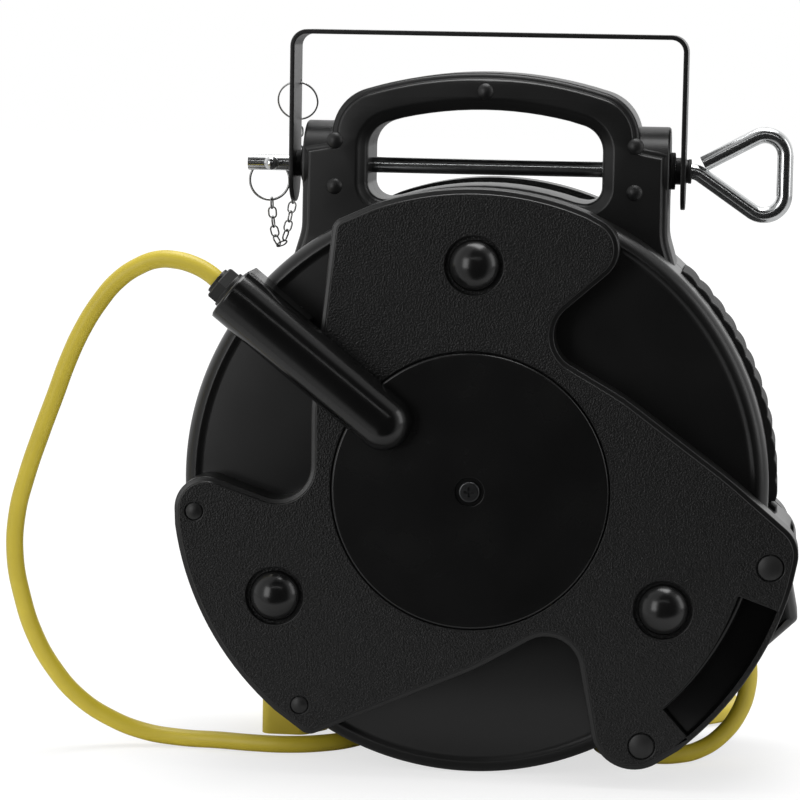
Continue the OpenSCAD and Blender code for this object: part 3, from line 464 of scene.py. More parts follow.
def as_mesh(name, mesh):
    """The bmesh as a mesh: welded, and facing outwards."""
    bmesh.ops.remove_doubles(mesh, verts=mesh.verts, dist=WELD)
    bmesh.ops.recalc_face_normals(mesh, faces=mesh.faces)
    data = bpy.data.meshes.new(name)
    mesh.to_mesh(data)
    mesh.free()
    return data


def shade(data, sharp):
    """Smooth shading everywhere but at edges sharper than an angle."""
    data.polygons.foreach_set("use_smooth", [True] * len(data.polygons))
    data.set_sharp_from_angle(angle=math.radians(sharp))


def finish_mesh(name, mesh, body, finish, slot, replaced=(), sharp=38):
    """The bmesh becomes a named piece, with its finish, its slot and the body that carries it."""
    data = as_mesh(name, mesh)
    shade(data, sharp)
    data.materials.append(finish)
    piece = put(name, data)
    piece.modifiers.new("even_shading", "WEIGHTED_NORMAL").keep_sharp = True
    print(f"{name}: {len(data.polygons)} faces")
    return dress(piece, body, slot, replaced)


def slab_into(mesh, outline, rows, back, toward=-1, holes=(), hole_rows=None, close_back=True):
    """Adds a moulding: rows are (inwards, height) pairs from the back at y=back, towards -Y or +Y."""
    loops = [(outline, rows, 1)] + [(hole, hole_rows or rows, -1) for hole in holes]
    ends = {0: [], -1: []}
    for line, section, sign in loops:
        rings = []
        for inwards, height in section:
            flat = inset(line, inwards * sign) if inwards else line
            rings.append([mesh.verts.new(Vector((p.x, back + toward * height, p.y + AXIS_Z)) * MM)
                          for p in flat])
        for low, high in zip(rings, rings[1:]):
            for i in range(len(line)):
                mesh.faces.new((low[i - 1], low[i], high[i], high[i - 1]))
        ends[0].append(rings[0])
        ends[-1].append(rings[-1])
    for rings in ([ends[-1], ends[0]] if close_back else [ends[-1]]):
        flat = [v for ring in rings for v in ring]
        for a, b, c in tessellate_polygon([[v.co.xzy for v in ring] for ring in rings]):
            if len({a, b, c}) == 3:
                mesh.faces.new((flat[a], flat[b], flat[c]))


def edge(height, depth, radius, steps):
    """The section of an edge: a wall that starts depth below the top, and a rounding up to height."""
    turns = [math.pi / 2 * k / steps for k in range(steps + 1)]
    return [(0, height - depth)] + [(radius * (1 - math.cos(a)), height - radius + radius * math.sin(a))
                                    for a in turns]


def lathe_into(mesh, profile, centre, direction, segments=96):
    """Adds a turned shape. profile is (radius, along) in mm, about an axis through centre."""
    along = Vector(direction).normalized()
    side = along.orthogonal().normalized()
    other = along.cross(side)
    rings = []
    for radius, height in profile:
        base = Vector(centre) + along * height
        if radius < 1e-6:
            rings.append([mesh.verts.new(base * MM)])
        else:
            rings.append([mesh.verts.new((base + (side * math.cos(2 * math.pi * k / segments)
                                                  + other * math.sin(2 * math.pi * k / segments))
                                          * radius) * MM) for k in range(segments)])
    for low, high in zip(rings, rings[1:]):
        for k in range(segments):
            ring = [low[k - 1] if len(low) > 1 else low[0], low[k] if len(low) > 1 else None,
                    high[k] if len(high) > 1 else None, high[k - 1] if len(high) > 1 else high[0]]
            corners = [v for v in ring if v is not None]
            if len(corners) > 2:
                mesh.faces.new(corners)
    return rings


def turned_piece(name, profiles, body, finish, slot, replaced=(), sharp=38, segments=96):
    """One piece from several turned shapes: (profile, centre, direction) each."""
    mesh = bmesh.new()
    for profile, centre, direction in profiles:
        lathe_into(mesh, profile, centre, direction, segments)
    return finish_mesh(name, mesh, body, finish, slot, replaced, sharp)


def arc_profile(centre, radius, first, last, steps=6):
    """Points of a rounding in a turned profile."""
    return [(centre[0] + radius * math.cos(math.radians(a)), centre[1] + radius * math.sin(math.radians(a)))
            for a in [first + (last - first) * k / steps for k in range(steps + 1)]]


def mirrored_piece(piece, name, body, replaced=()):
    """The same moulding on the back of the reel."""
    mesh = bmesh.new()
    mesh.from_mesh(piece.data)
    bmesh.ops.scale(mesh, vec=(1, -1, 1), verts=mesh.verts)
    return finish_mesh(name, mesh, body, piece.data.materials[0], piece["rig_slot"], replaced)


# %% [markdown]
# ## The three-lobed covers
# Each cover is a plate with a skirt. Two lobes are alike, a third of a turn apart. The long third
# lobe reaches past the drum and carries the cord window. The outline runs anticlockwise from the
# bottom notch, and each lobe is the first one, turned.

# %% Cover outlines
NOTCH, LEAD_EDGE = (32.4, 88.6), (88, 57)
NOTCH_ROUND, EDGE_ROUND, LOBE_ROUND = 20, 120, (19, 8)
LOBE_R, MOUTH_R = 175, 193.5
LOBE_START, LOBE_END = 56.3, 118
MOUTH_SHOULDER = (150, 11.4)
MOUTH_TOP, MOUTH_TIP = -7.1, -65.5
BACK_STEP = 7.5
POST_R, POST_ANGLES = 178.6, (-12.5, -54.8)
SMALL_CAP_R, SMALL_CAP_ANGLES = 162.5, (-174, -127)
DISC_R, BUMPER_R, BUMPER_RING_R = 80.6, 13.5, 131
BUMPER_ANGLES = (90, 210, 330)
POCKET_R, POCKET_ANGLES, POCKET_RIM, POCKET_DEPTH = 170, (-47.2, -19.6), 1.6, 8
POCKET_STEPS, POCKET_OVERLAP = 12, 0.6


def lobe(angle):
    plain = [corner(p) for p in arc(LOBE_R, LOBE_START + 12, LOBE_END - 8, 18)]
    start = corner(polar(LOBE_R, LOBE_START), LOBE_ROUND[0])
    end = corner(polar(LOBE_R, LOBE_END), LOBE_ROUND[1])
    corners = [corner(LEAD_EDGE, EDGE_ROUND), corner(NOTCH, NOTCH_ROUND), start] + plain + [end]
    return [corner(turned(c[:2], angle), c[2]) for c in corners]


def mouth_end(back, shoulder_round):
    """The long lobe's end. The back cover's stands in by half of back, and by all of it on top."""
    radius = MOUTH_R - back / 2
    shoulder = (MOUTH_SHOULDER[0] - 0.64 * back, MOUTH_SHOULDER[1] - 0.77 * back)
    return ([corner(polar(radius + 1, MOUTH_TIP), 25)] + [corner(p) for p in arc(radius, -50, -15, 16)]
            + [corner(polar(radius, MOUTH_TOP - back / 4), 20), corner(shoulder, shoulder_round)])


def cover_line(back):
    return rounded([corner(turned(NOTCH, -120), NOTCH_ROUND)] + mouth_end(back, 150) + lobe(0)
                   + lobe(120) + [corner(turned(LEAD_EDGE, -120), EDGE_ROUND)])


def bevel_width(share):
    """The bevel on the pocket's inner edge is widest at the top, where share is 1."""
    return 1.4 + 2.4 * share


def pocket_line(back, with_bevel):
    """The pocket's outline. Its inner side stands back by the bevel, or else reaches under it."""
    low, high = POCKET_ANGLES
    outer = arc(MOUTH_R - back / 2 - POCKET_RIM, low, high, POCKET_STEPS)
    inner = [polar(POCKET_R - (bevel_width(k / POCKET_STEPS) if with_bevel else -POCKET_OVERLAP),
                   low + (high - low) * k / POCKET_STEPS) for k in range(POCKET_STEPS, -1, -1)]
    outer_round = {0: 0.6, POCKET_STEPS: 3}
    inner_round = {0: 0.6, POCKET_STEPS: 0.6}
    return rounded([corner(p, outer_round.get(i, 0)) for i, p in enumerate(outer)]
                   + [corner(p, inner_round.get(i, 0)) for i, p in enumerate(inner)])


print("front cover outline:", len(cover_line(0)), "points")

# %% [markdown]
# The plate has a hole for the disc, round recesses for the bumpers and caps, and a long pocket beside
# the cord's mouth. Its outer edge is a small step and a rounding, and its skirt turns in at the foot
# where it meets the drum. Only the flat face is grained. The sides, the step and the holes' edges are
# smooth, since a mould's walls aren't etched, so they get a second material by which way they face.

# %% Covers: skirt and plate
EDGE_STEP = [(0, 2.2), (0.1, 1.8), (0.4, 1.5), (0.8, 1.35), (2.2, 1.1), (2.6, 0.9), (2.8, 0.4), (3.1, 0.1),
             (3.5, 0)]
FOOT_LEDGE = 4
BUMPER_RECESS = 3.4
HOLE_EDGE_DEPTH, HOLE_EDGE_ROUND = 6, 0.7
FLAT_FACE = 0.985


def smooth_sides(mesh):
    """Everything but the flat face gets the second material."""
    for face in mesh.faces:
        face.normal_update()
        face.material_index = 0 if abs(face.normal.y) > FLAT_FACE else 1


def build_cover(back):
    mesh = bmesh.new()
    skirt = COVER_Y - DRUM_HALF
    holes = [circle((0, 0), DISC_R + 0.6, 128), pocket_line(back, True)]
    holes += [circle(polar(BUMPER_RING_R, a), BUMPER_R + BUMPER_RECESS) for a in BUMPER_ANGLES]
    holes += [circle(polar(POST_R, a), 7.9, 48) for a in POST_ANGLES]
    holes += [circle(polar(SMALL_CAP_R, a), 5.3, 40) for a in SMALL_CAP_ANGLES]
    rows = [(FOOT_LEDGE, 0), (0, 0)] + [(less, skirt - down) for less, down in EDGE_STEP]
    slab_into(mesh, cover_line(back), rows, -DRUM_HALF, holes=holes,
              hole_rows=edge(skirt, HOLE_EDGE_DEPTH, HOLE_EDGE_ROUND, 3), close_back=False)
    smooth_sides(mesh)
    return mesh


print("cover's skirt:", COVER_Y - DRUM_HALF, "mm deep")

# %% [markdown]
# A recess needs a floor, which is a disc a little wider than its hole, under the plate. The pocket is
# a piece of its own, because its floor and walls are smooth, and their colour is darker as painted
# shade. The wide bevel on its inner edge is a strip: one section, set at equal steps along the edge,
# and wider at the top than at the bottom.

# %% Covers: recess floors and the pocket
POCKET_SECTION = [(-1.05, -0.5), (-1, -0.05), (-0.8, -0.12), (-0.55, -0.45), (-0.3, -1.1), (-0.1, -2.1),
                  (0, -3.6)]


def add_floors(mesh):
    """The recesses' floors. The pocket's floor is a piece of its own, because it is smooth."""
    floor_edge = [(0, 0), (0, 1)]
    for angle in BUMPER_ANGLES:
        slab_into(mesh, circle(polar(BUMPER_RING_R, angle), BUMPER_R + 5), floor_edge, -COVER_Y + 4)
    for angle in POST_ANGLES:
        slab_into(mesh, circle(polar(POST_R, angle), 9, 48), floor_edge, -COVER_Y + 2.4)
    for angle in SMALL_CAP_ANGLES:
        slab_into(mesh, circle(polar(SMALL_CAP_R, angle), 6, 40), floor_edge, -COVER_Y + 2)
    slab_into(mesh, circle((0, 0), DISC_R + 4, 128), floor_edge, -COVER_Y + 4)


def pocket_piece(back):
    """Floor and walls of the pocket, with the bevel on its inner edge."""
    mesh = bmesh.new()
    slab_into(mesh, inset(pocket_line(back, False), -0.9), [(0, 0), (0, 1)], -COVER_Y + POCKET_DEPTH)
    low, high = POCKET_ANGLES
    steps = 2 * POCKET_STEPS
    rings = []
    for k in range(steps + 1):
        angle, width = low + (high - low) * k / steps, bevel_width(k / steps)
        line = [(POCKET_R + r * width, up) for r, up in POCKET_SECTION]
        line += [(POCKET_R + POCKET_OVERLAP, -POCKET_DEPTH)]
        flat = [(polar(r, angle), up) for r, up in line]
        rings.append([mesh.verts.new(Vector((p.x, -COVER_Y - up, p.y + AXIS_Z)) * MM) for p, up in flat])
    for left, right in zip(rings, rings[1:]):
        for i in range(len(POCKET_SECTION)):
            mesh.faces.new((left[i], right[i], right[i + 1], left[i + 1]))
    return mesh


def cover_piece(name, mesh, finish, rear, replaced=()):
    if rear:
        bmesh.ops.scale(mesh, vec=(1, -1, 1), verts=mesh.verts)
    finish_mesh(name, mesh, "housing", finish, "cover", replaced).data.materials.append(edge_abs)


for word, back, rear in (("front", 0, False), ("rear", BACK_STEP, True)):
    plate = build_cover(back)
    add_floors(plate)
    cover_piece(word + "_cover_plate", plate, cover_grain_and_pit_shade, rear, [word + "_cover"])
    # The pocket's darker colour is painted shade.
    cover_piece(word + "_cover_pocket", pocket_piece(back), pocket_shade_abs, rear)

# %% [markdown]
# ## The drum
# Two cups meet on the middle plane. A cup is a turned shape: a face that is slightly domed, a low
# bead, a wide rounding and a straight wall, with a fine groove where the halves meet. The cord
# mouth's walls are part of each cup. They follow the long lobe's outline where it stands out of the
# drum, and a thin flange closes the step at the seam, because the rear lobe is smaller.

# %% Drum cups and the mouth's walls
RIM_ROUND, SHELL_WALL = 10, 3
EXIT_ANGLES, EXIT_HALF = (-54, -28.5), 36
EXIT_CUT = (-54, -8)
MOUTH_INSET, MOUTH_WALL = 1, 2


def mouth_line(back):
    return rounded([corner(turned(NOTCH, -120))] + mouth_end(back, 20) + [corner((100, 0))])


def angle_of(point):
    return math.degrees(math.atan2(point.y, point.x))


def with_more_points(outline, step=3):
    """The same outline with extra points on its long straight stretches."""
    points = []
    for before, here in zip(outline[-1:] + outline[:-1], outline):
        count = max(1, round((here - before).length / step))
        points += [before.lerp(here, k / count) for k in range(1, count + 1)]
    return points


def wall_runs(back, keep):
    """The mouth's wall outside the drum, where keep says so: each stretch is a thin closed outline."""
    line = with_more_points(mouth_line(back))
    runs, run = [], []
    for p, q in zip(inset(line, MOUTH_INSET), inset(line, MOUTH_INSET + MOUTH_WALL)):
        if p.length > DRUM_R - 2 and keep(angle_of(p)):
            run.append((p, q))
        elif run:
            runs.append(run)
            run = []
    if run:
        runs.append(run)
    return [[p for p, _ in r] + [q for _, q in reversed(r)] for r in runs if len(r) > 1]


def build_drum():
    mesh = bmesh.new()
    lip = DRUM_R - 8
    profile = ([(0, DRUM_HALF + 2.4), (60, DRUM_HALF + 2.2), (100, DRUM_HALF + 1.4), (130, DRUM_HALF + 0.4),
                (150, DRUM_HALF - 0.5), (lip - 4, DRUM_HALF - 1.2), (lip - 2.4, DRUM_HALF - 1.25),
                (lip - 1.2, DRUM_HALF - 0.85), (lip, DRUM_HALF - 0.4), (lip + 0.8, DRUM_HALF - 0.45)]
               + arc_profile((DRUM_R - RIM_ROUND, DRUM_HALF - RIM_ROUND), RIM_ROUND, 72, 0, 10)
               + [(DRUM_R, 0.6), (DRUM_R - 0.5, 0.15), (DRUM_R - 0.5, 0), (DRUM_R - SHELL_WALL, 0)]
               + arc_profile((DRUM_R - RIM_ROUND, DRUM_HALF - RIM_ROUND), RIM_ROUND - SHELL_WALL, 0, 90, 6)
               + [(0, DRUM_HALF - SHELL_WALL)])
    lathe_into(mesh, profile, (0, 0, AXIS_Z), (0, -1, 0), 240)
    return mesh


def cut_exit(mesh):
    """The cord leaves through the drum's wall: faces of the wall behind the window go."""
    def inside(face):
        c = face.calc_center_median() / MM
        flat = Vector((c.x, c.z - AXIS_Z))
        return (flat.length > DRUM_R - SHELL_WALL - 1 and EXIT_CUT[0] < angle_of(flat) < EXIT_CUT[1]
                and abs(c.y) < EXIT_HALF)
    bmesh.ops.delete(mesh, geom=[f for f in mesh.faces if inside(f)], context="FACES")


drum_mesh = build_drum()
cut_exit(drum_mesh)
front_drum = finish_mesh("front_drum_cup", drum_mesh, "housing", satin_abs, "drum", ["front_shell"])
mirrored_piece(front_drum, "rear_drum_cup", "housing", ["rear_shell"])


def build_mouth(back):
    mesh = bmesh.new()
    for run in wall_runs(back, lambda a: True):
        slab_into(mesh, run, [(0, EXIT_HALF), (0, DRUM_HALF)], 0)
    for run in wall_runs(back, lambda a: not EXIT_ANGLES[0] < a < EXIT_ANGLES[1]):
        slab_into(mesh, run, [(0.5, 0.1), (0.1, 0.6), (0, 1), (0, EXIT_HALF)], 0)
    return mesh


def seam_flange():
    """A thin flange at the seam, which closes the step between the front half's wall and the rear's."""
    mesh = bmesh.new()
    line = inset(with_more_points(mouth_line(0)), MOUTH_INSET + 0.3)
    outer = [p for p in line if p.length > DRUM_R - 3 and angle_of(p) > EXIT_ANGLES[1]]
    inner = [p - p.normalized() * 12 for p in outer]
    slab_into(mesh, outer + inner[::-1], [(0, 0.2), (0, 1.4)], 0)
    return mesh


finish_mesh("front_mouth_wall", build_mouth(0), "housing", satin_abs, "drum")
finish_mesh("mouth_seam_flange", seam_flange(), "housing", satin_abs, "drum")
rear_wall = build_mouth(BACK_STEP)
bmesh.ops.scale(rear_wall, vec=(1, -1, 1), verts=rear_wall.verts)
finish_mesh("rear_mouth_wall", rear_wall, "housing", satin_abs, "drum")

# %% [markdown]
# ## The discs
# A smooth disc fills the middle of each cover. It is a turned shape with a round recess in the
# middle, which takes a screw. Turning gives its thin rounded rim at no extra cost.

# %% The disc with its screw recess
DISC_FACE, DISC_T = 83, 3.5
SCREW_RECESS_R, SCREW_R, SCREW_SINK, SCREW_T = 8.5, 6, 1.6, 2.6


def disc_profile():
    floor, rim = DISC_FACE - SCREW_SINK, DISC_FACE - 0.4
    return ([(0, floor), (SCREW_RECESS_R - 0.3, floor), (SCREW_RECESS_R, floor + 0.3), (SCREW_RECESS_R, rim)]
            + arc_profile((SCREW_RECESS_R + 0.4, rim), 0.4, 180, 90, 3)
            + arc_profile((DISC_R - 1.4, DISC_FACE - 1.4), 1.4, 90, 0, 6) + [(DISC_R, DISC_FACE - DISC_T)])


front_disc = turned_piece("front_disc", [(disc_profile(), (0, 0, AXIS_Z), (0, -1, 0))], "housing", disc_abs,
                          "disc", segments=160)
mirrored_piece(front_disc, "rear_disc", "housing", ["spring_disc"])

# %% [markdown]
# The screw's head is a short slab with a rounded edge. Its cross is a hole in the slab, like the
# covers' holes, and a smaller slab under it is the recess's floor.

# %% The screw's head
SCREW_CROSS = [(0.7, 0.7), (0.7, 3), (-0.7, 3), (-0.7, 0.7), (-3, 0.7), (-3, -0.7), (-0.7, -0.7), (-0.7, -3),
               (0.7, -3), (0.7, -0.7), (3, -0.7), (3, 0.7)]
CROSS_FLOOR_R, CROSS_DEPTH = 3.6, 1.4


def screw_piece(toward):
    """A screw head with a cross recess."""
    mesh = bmesh.new()
    foot, cross = toward * (DISC_FACE - SCREW_SINK), [Vector(p) for p in SCREW_CROSS]
    slab_into(mesh, circle((0, 0), SCREW_R), edge(SCREW_T, SCREW_T, 0.9, 4), foot, toward, holes=[cross],
              hole_rows=[(0, SCREW_T - CROSS_DEPTH), (0, SCREW_T)], close_back=False)
    slab_into(mesh, circle((0, 0), CROSS_FLOOR_R, 32), [(0, 0), (0, 1.4)], foot, toward)
    return mesh


for toward, name in ((-1, "front_disc_screw"), (1, "rear_disc_screw")):
    finish_mesh(name, screw_piece(toward), "housing", black_steel, "trim",
                ["disc_screws"] if toward < 0 else ())

# %% [markdown]
# ## Bumpers and caps
# Rubber bumpers stand in round recesses, and small domed caps hide the bolts. Equal pieces around a
# circle are one piece and a Geometry Nodes tree that repeats it, with the count, the radius and the
# first angle as named inputs. The copies are made real at the end, and kept as a plain mesh.

# %% Repeating a piece around the spool's axis


def named_input(tree, name, kind, value=None):
    socket = tree.interface.new_socket(name, in_out="INPUT", socket_type=kind)
    if value is not None:
        socket.default_value = value


def around_tree():
    """Geometry Nodes: copies of a piece at equal steps about the spool's axis."""
    tree = bpy.data.node_groups.new("around_the_spool", "GeometryNodeTree")
    named_input(tree, "Piece", "NodeSocketObject")
    named_input(tree, "Count", "NodeSocketInt", 3)
    named_input(tree, "Radius", "NodeSocketFloat", BUMPER_RING_R * MM)
    named_input(tree, "First angle", "NodeSocketFloat", math.radians(90))
    named_input(tree, "Step", "NodeSocketFloat", math.radians(120))
    named_input(tree, "Finish", "NodeSocketMaterial")
    tree.interface.new_socket("Geometry", in_out="OUTPUT", socket_type="NodeSocketGeometry")
    given = add(tree, "NodeGroupInput").outputs
    index = add(tree, "GeometryNodeInputIndex").outputs["Index"]
    swept = add(tree, "ShaderNodeMath", {0: index, 1: given["Step"]}, operation="MULTIPLY").outputs[0]
    angle = add(tree, "ShaderNodeMath", {0: swept, 1: given["First angle"]}, operation="ADD").outputs[0]
    flat = []
    for word in ("COSINE", "SINE"):
        wave = add(tree, "ShaderNodeMath", {0: angle}, operation=word).outputs[0]
        reach = add(tree, "ShaderNodeMath", {0: wave, 1: given["Radius"]}, operation="MULTIPLY")
        flat.append(reach.outputs[0])
    up = add(tree, "ShaderNodeMath", {0: flat[1], 1: AXIS_Z * MM}, operation="ADD").outputs[0]
    place = add(tree, "ShaderNodeCombineXYZ", {"X": flat[0], "Z": up}).outputs["Vector"]
    points = add(tree, "GeometryNodePoints", {"Count": given["Count"], "Position": place})
    repeat_on(tree, {"Points": points.outputs[0]}, given["Piece"], given["Finish"])
    return tree


def repeat_on(tree, places, piece, finish):
    """The end of a tree that repeats: a copy of the piece at each point, made real, with its finish."""
    source = add(tree, "GeometryNodeObjectInfo", {"Object": piece}).outputs["Geometry"]
    copies = add(tree, "GeometryNodeInstanceOnPoints", {"Instance": source, **places})
    real = add(tree, "GeometryNodeRealizeInstances", {"Geometry": copies.outputs["Instances"]})
    dressed = add(tree, "GeometryNodeSetMaterial", {"Geometry": real.outputs["Geometry"], "Material": finish})
    add(tree, "NodeGroupOutput", {"Geometry": dressed.outputs["Geometry"]})


AROUND = around_tree()
print("inputs of", AROUND.name, "-", [s.name for s in AROUND.interface.items_tree if s.in_out == "INPUT"])

# %% [markdown]
# A tree needs an object to run on. The modifier sits on an empty host, its inputs are set by their
# identifiers, and the evaluated result is kept as a plain mesh. The host and its modifier then go.

# %% Running a tree, and a round piece repeated by it


def evaluated_mesh(thing):
    """The plain mesh that an object's bevel or modifiers give. The object itself then goes."""
    bpy.context.view_layer.update()
    data = bpy.data.meshes.new_from_object(thing.evaluated_get(bpy.context.evaluated_depsgraph_get()))
    bpy.data.objects.remove(thing)
    return data


def run_tree(host, tree, inputs):
    """Runs a tree on a host object, and gives its result as a plain mesh."""
    modifier = host.modifiers.new("nodes", "NODES")
    modifier.node_group = tree
    sockets = {s.name: s.identifier for s in tree.interface.items_tree if s.in_out == "INPUT"}
    for key, value in inputs.items():
        modifier[sockets[key]] = value
    return evaluated_mesh(host)


def repeat_around(name, profile, direction, radius, first, step, count, finish, replaced=(), segments=48):
    """A turned shape, made once at the origin and repeated about the spool's axis."""
    mesh = bmesh.new()
    lathe_into(mesh, profile, (0, 0, 0), direction, segments)
    source = put(name + "_one", as_mesh(name + "_one", mesh))
    host = put(name + "_host", bpy.data.meshes.new(name + "_host"))
    data = run_tree(host, AROUND, {"Piece": source, "Count": count, "Radius": radius * MM,
                                   "First angle": math.radians(first), "Step": math.radians(step),
                                   "Finish": finish})
    bpy.data.objects.remove(source)
    shade(data, 40)
    print(f"{name}: {count} copies, {len(data.polygons)} faces")
    return dress(put(name, data), "housing", "trim", replaced)


# %% [markdown]
# A bumper and a cap have the same form in other sizes: a short straight rim under part of a ball.
# So one section does for all of them, and the caps are only lower and smaller.

# %% Bumpers and caps on both covers


def dome_profile(base, radius, rim, height, steps=10):
    """A short straight rim and a spherical face, from the middle outwards."""
    ball = (radius * radius + height * height) / (2 * height)
    side = math.asin(min(1, radius / ball))
    top = base + rim + height - ball
    curve = [(ball * math.sin(side * k / steps), top + ball * math.cos(side * k / steps))
             for k in range(steps + 1)]
    return curve + [(radius, base), (0, base)]


bumper = dome_profile(COVER_Y - 3, BUMPER_R + 1.3, 2.6, 9, 14)
small_cap = dome_profile(COVER_Y - 0.2, 4.7, 0.5, 1.3)
post_cap = dome_profile(COVER_Y - 1, 7, 1.3, 1.3)
for side, word in ((-1, "front"), (1, "rear")):
    facing = (0, side, 0)
    front = side < 0
    repeat_around(word + "_rubber_bumpers", bumper, facing, BUMPER_RING_R, BUMPER_ANGLES[0], 120, 3,
                  bumper_rubber, [word + "_bumpers"], 72)
    repeat_around(word + "_cover_caps", small_cap, facing, SMALL_CAP_R, SMALL_CAP_ANGLES[0],
                  SMALL_CAP_ANGLES[1] - SMALL_CAP_ANGLES[0], 2, cap_plastic, ["cover_caps"] if front else ())
    repeat_around(word + "_post_caps", post_cap, facing, POST_R, POST_ANGLES[0],
                  POST_ANGLES[1] - POST_ANGLES[0], 2, post_plastic, ["post_caps"] if front else ())

# %% [markdown]
# ## The cord inlet
# A bullet-shaped housing lies on the disc and brings the cord to the axle. In plan it is a straight
# bar with a half-round end, and in section a half-round top on straight sides. So its skin is one
# grid: stations along the plan line, and at each the same section, leaning to the plan line's normal.
# At the outer end the section shrinks over the last stations, which rounds that end off. A plain
# block under the outer part goes back to the drum, beside the cover's edge.

# %% Inlet housing
INLET_ANGLE, INLET_W = 141.4, 33
INLET_TOP, INLET_FROM, INLET_REACH = 105, 64, 180
INLET_END = [(0, 2.2), (0.2, 1.2), (0.8, 0.4), (2, 0)]
CORD_Y = 82


def along_inlet(point):
    """A point given as (out along the inlet, across it, towards the front), in the row frame."""
    out, across, front = point
    flat = polar(out, INLET_ANGLE) + polar(across, INLET_ANGLE + 90)
    return Vector((flat.x, -front, flat.y + AXIS_Z))


def build_inlet():
    mesh = bmesh.new()
    half = INLET_W / 2
    side = [(INLET_REACH - back, less) for back, less in INLET_END]
    straight = INLET_REACH - INLET_END[-1][0]
    side += [(straight - (straight - INLET_FROM) * k / 11, 0) for k in range(1, 11)]
    stations = [(x, less, 0, -1) for x, less in side]
    stations += [(INLET_FROM, 0, -math.cos(math.radians(a)), math.sin(math.radians(a)))
                 for a in range(-90, 91, 6)]
    stations += [(x, less, 0, 1) for x, less in side[::-1]]
    top = INLET_TOP - half
    section = [(half, DISC_FACE - 2)] + arc_profile((0, top), half, 0, 90, 15)
    grid = []
    for x, less, out, across in stations:
        small = 1 - less / half
        lean = [((x + out * w * small, across * w * small), top + (h - top) * small if h > top else h)
                for w, h in section]
        grid.append([mesh.verts.new(along_inlet((*plan, height)) * MM) for plan, height in lean])
    for left, right in zip(grid, grid[1:]):
        for i in range(len(section) - 1):
            corners = []
            for v in (left[i], right[i], right[i + 1], left[i + 1]):
                if not any((v.co - c.co).length < 1e-8 for c in corners):
                    corners.append(v)
            if len(corners) > 2:
                mesh.faces.new(corners)
    mesh.faces.new(grid[0] + grid[-1][::-1][1:])
    return mesh


def build_inlet_neck():
    """The deep outer part of the housing, which goes back to the drum beside the cover's edge."""
    mesh = bmesh.new()
    half, end = INLET_W / 2, INLET_REACH - 0.6
    low, high = [[mesh.verts.new(along_inlet((out, across, height)) * MM)
                  for out, across in ((135, -half), (end, -half), (end, half), (112, half))]
                 for height in (DRUM_HALF - 2, INLET_TOP - half + 1)]
    mesh.faces.new(low)
    mesh.faces.new(high)
    for i in range(4):
        mesh.faces.new((low[i - 1], low[i], high[i], high[i - 1]))
    return mesh


finish_mesh("inlet_housing", build_inlet(), "housing", inlet_abs, "disc", ["inlet_disc"])
finish_mesh("inlet_housing_neck", build_inlet_neck(), "housing", disc_abs, "disc")

# %% [markdown]
# The gland holds the cord where it goes in. It is a ring against the housing, a hexagonal nut and a
# short mouth. All three are turned about the cord's axis, and six segments make the nut's flats.

# %% Cord gland
gland_at = along_inlet((INLET_REACH, 0, CORD_Y))
gland_out = along_inlet((1, 0, 0)) - along_inlet((0, 0, 0))
ring_profile = [(5.4, 0), (11.6, 0)] + arc_profile((11, 2.2), 0.6, 0, 90, 3) + [(8, 2.8)]
mouth_profile = [(8, 8.6)] + arc_profile((7.4, 10.4), 0.6, 0, 90, 3) + [(5.4, 11)]
nut_profile = [(6, 2.6), (11.8, 2.6), (11.8, 8.2), (10.9, 9), (6, 9)]
turned_piece("cord_gland", [(ring_profile, gland_at, gland_out), (mouth_profile, gland_at, gland_out)],
             "housing", cap_plastic, "trim", ["gland_cap"])
turned_piece("cord_gland_nut", [(nut_profile, gland_at, gland_out)], "housing", cap_plastic, "trim",
             sharp=20, segments=6)

# %% [markdown]
# ## The handle
# Two mirrored halves meet on the middle plane. The face is a raised plateau. Towards the outline it
# drops over a rounded step to a lower rim, and towards the finger opening over a wider one, so the
# edge that the fingers meet is far back and round.

# %% Handle halves
GRIP_R, GRIP_W, HANDLE_HALF = 240.5, 22, 28
EAR_X, EAR_R, EAR_INNER = 108.5, 26, 84
OPENING_X, SADDLE_UP = 69.3, 2
NECK_FOOT, NECK_X, GRIP_CORNER = (122, 100), (108.5, 146), (91, 224)
EAR_CUT, SHOULDER = (108.2, PIN_UP + 11.5), (91, PIN_UP + 14.5)
OPENING_TOP = (69.3, GRIP_R - GRIP_W - 11.4)


def both_sides(right):
    """Corners on the right, and the same ones on the left in the opposite order."""
    return right, [(-x, up, radius) for x, up, radius in right[::-1]]


right, left = both_sides([corner(NECK_FOOT), corner(NECK_X, 30), corner(EAR_CUT), corner(SHOULDER),
                          corner(GRIP_CORNER, 28)])
handle_outline = rounded(right + [corner(p) for p in arc(GRIP_R, 75, 105, 16)] + left
                         + [corner(p) for p in arc(DRUM_R - 17, 138, 42, 30)])
right, left = both_sides([corner((OPENING_X, DRUM_R - 9), 10), corner(OPENING_TOP, 16)])
opening_outline = rounded(
    left[1:] + [corner(polar(DRUM_R + SADDLE_UP, a)) for a in range(108, 71, -3)] + right
    + [corner(p) for p in arc(GRIP_R - GRIP_W, 77, 103, 12)] + left[:1])
print("handle outline:", len(handle_outline), "points, its opening:", len(opening_outline))

# %% [markdown]
# The two sections below are lists of rows, like the covers' step. The outer one drops at the outline,
# and the inner one at the finger opening. The ears that take the pin are turned cylinders, which run
# through both halves.

# %% Handle sections and ears
OUTER_STEP = [(0, 0.1), (0, 21.5), (0.3, 22.8), (1.1, 23.9), (2.2, 24.4), (3, 24.8), (3.5, 26), (4.1, 27.3),
              (5.2, 28)]
INNER_STEP = [(0, 0.1), (0, 21), (0.3, 22.6), (1.1, 23.9), (2.2, 24.7), (3.8, 25.6), (5.2, 26.7), (6.3, 27.6),
              (7.6, 28)]


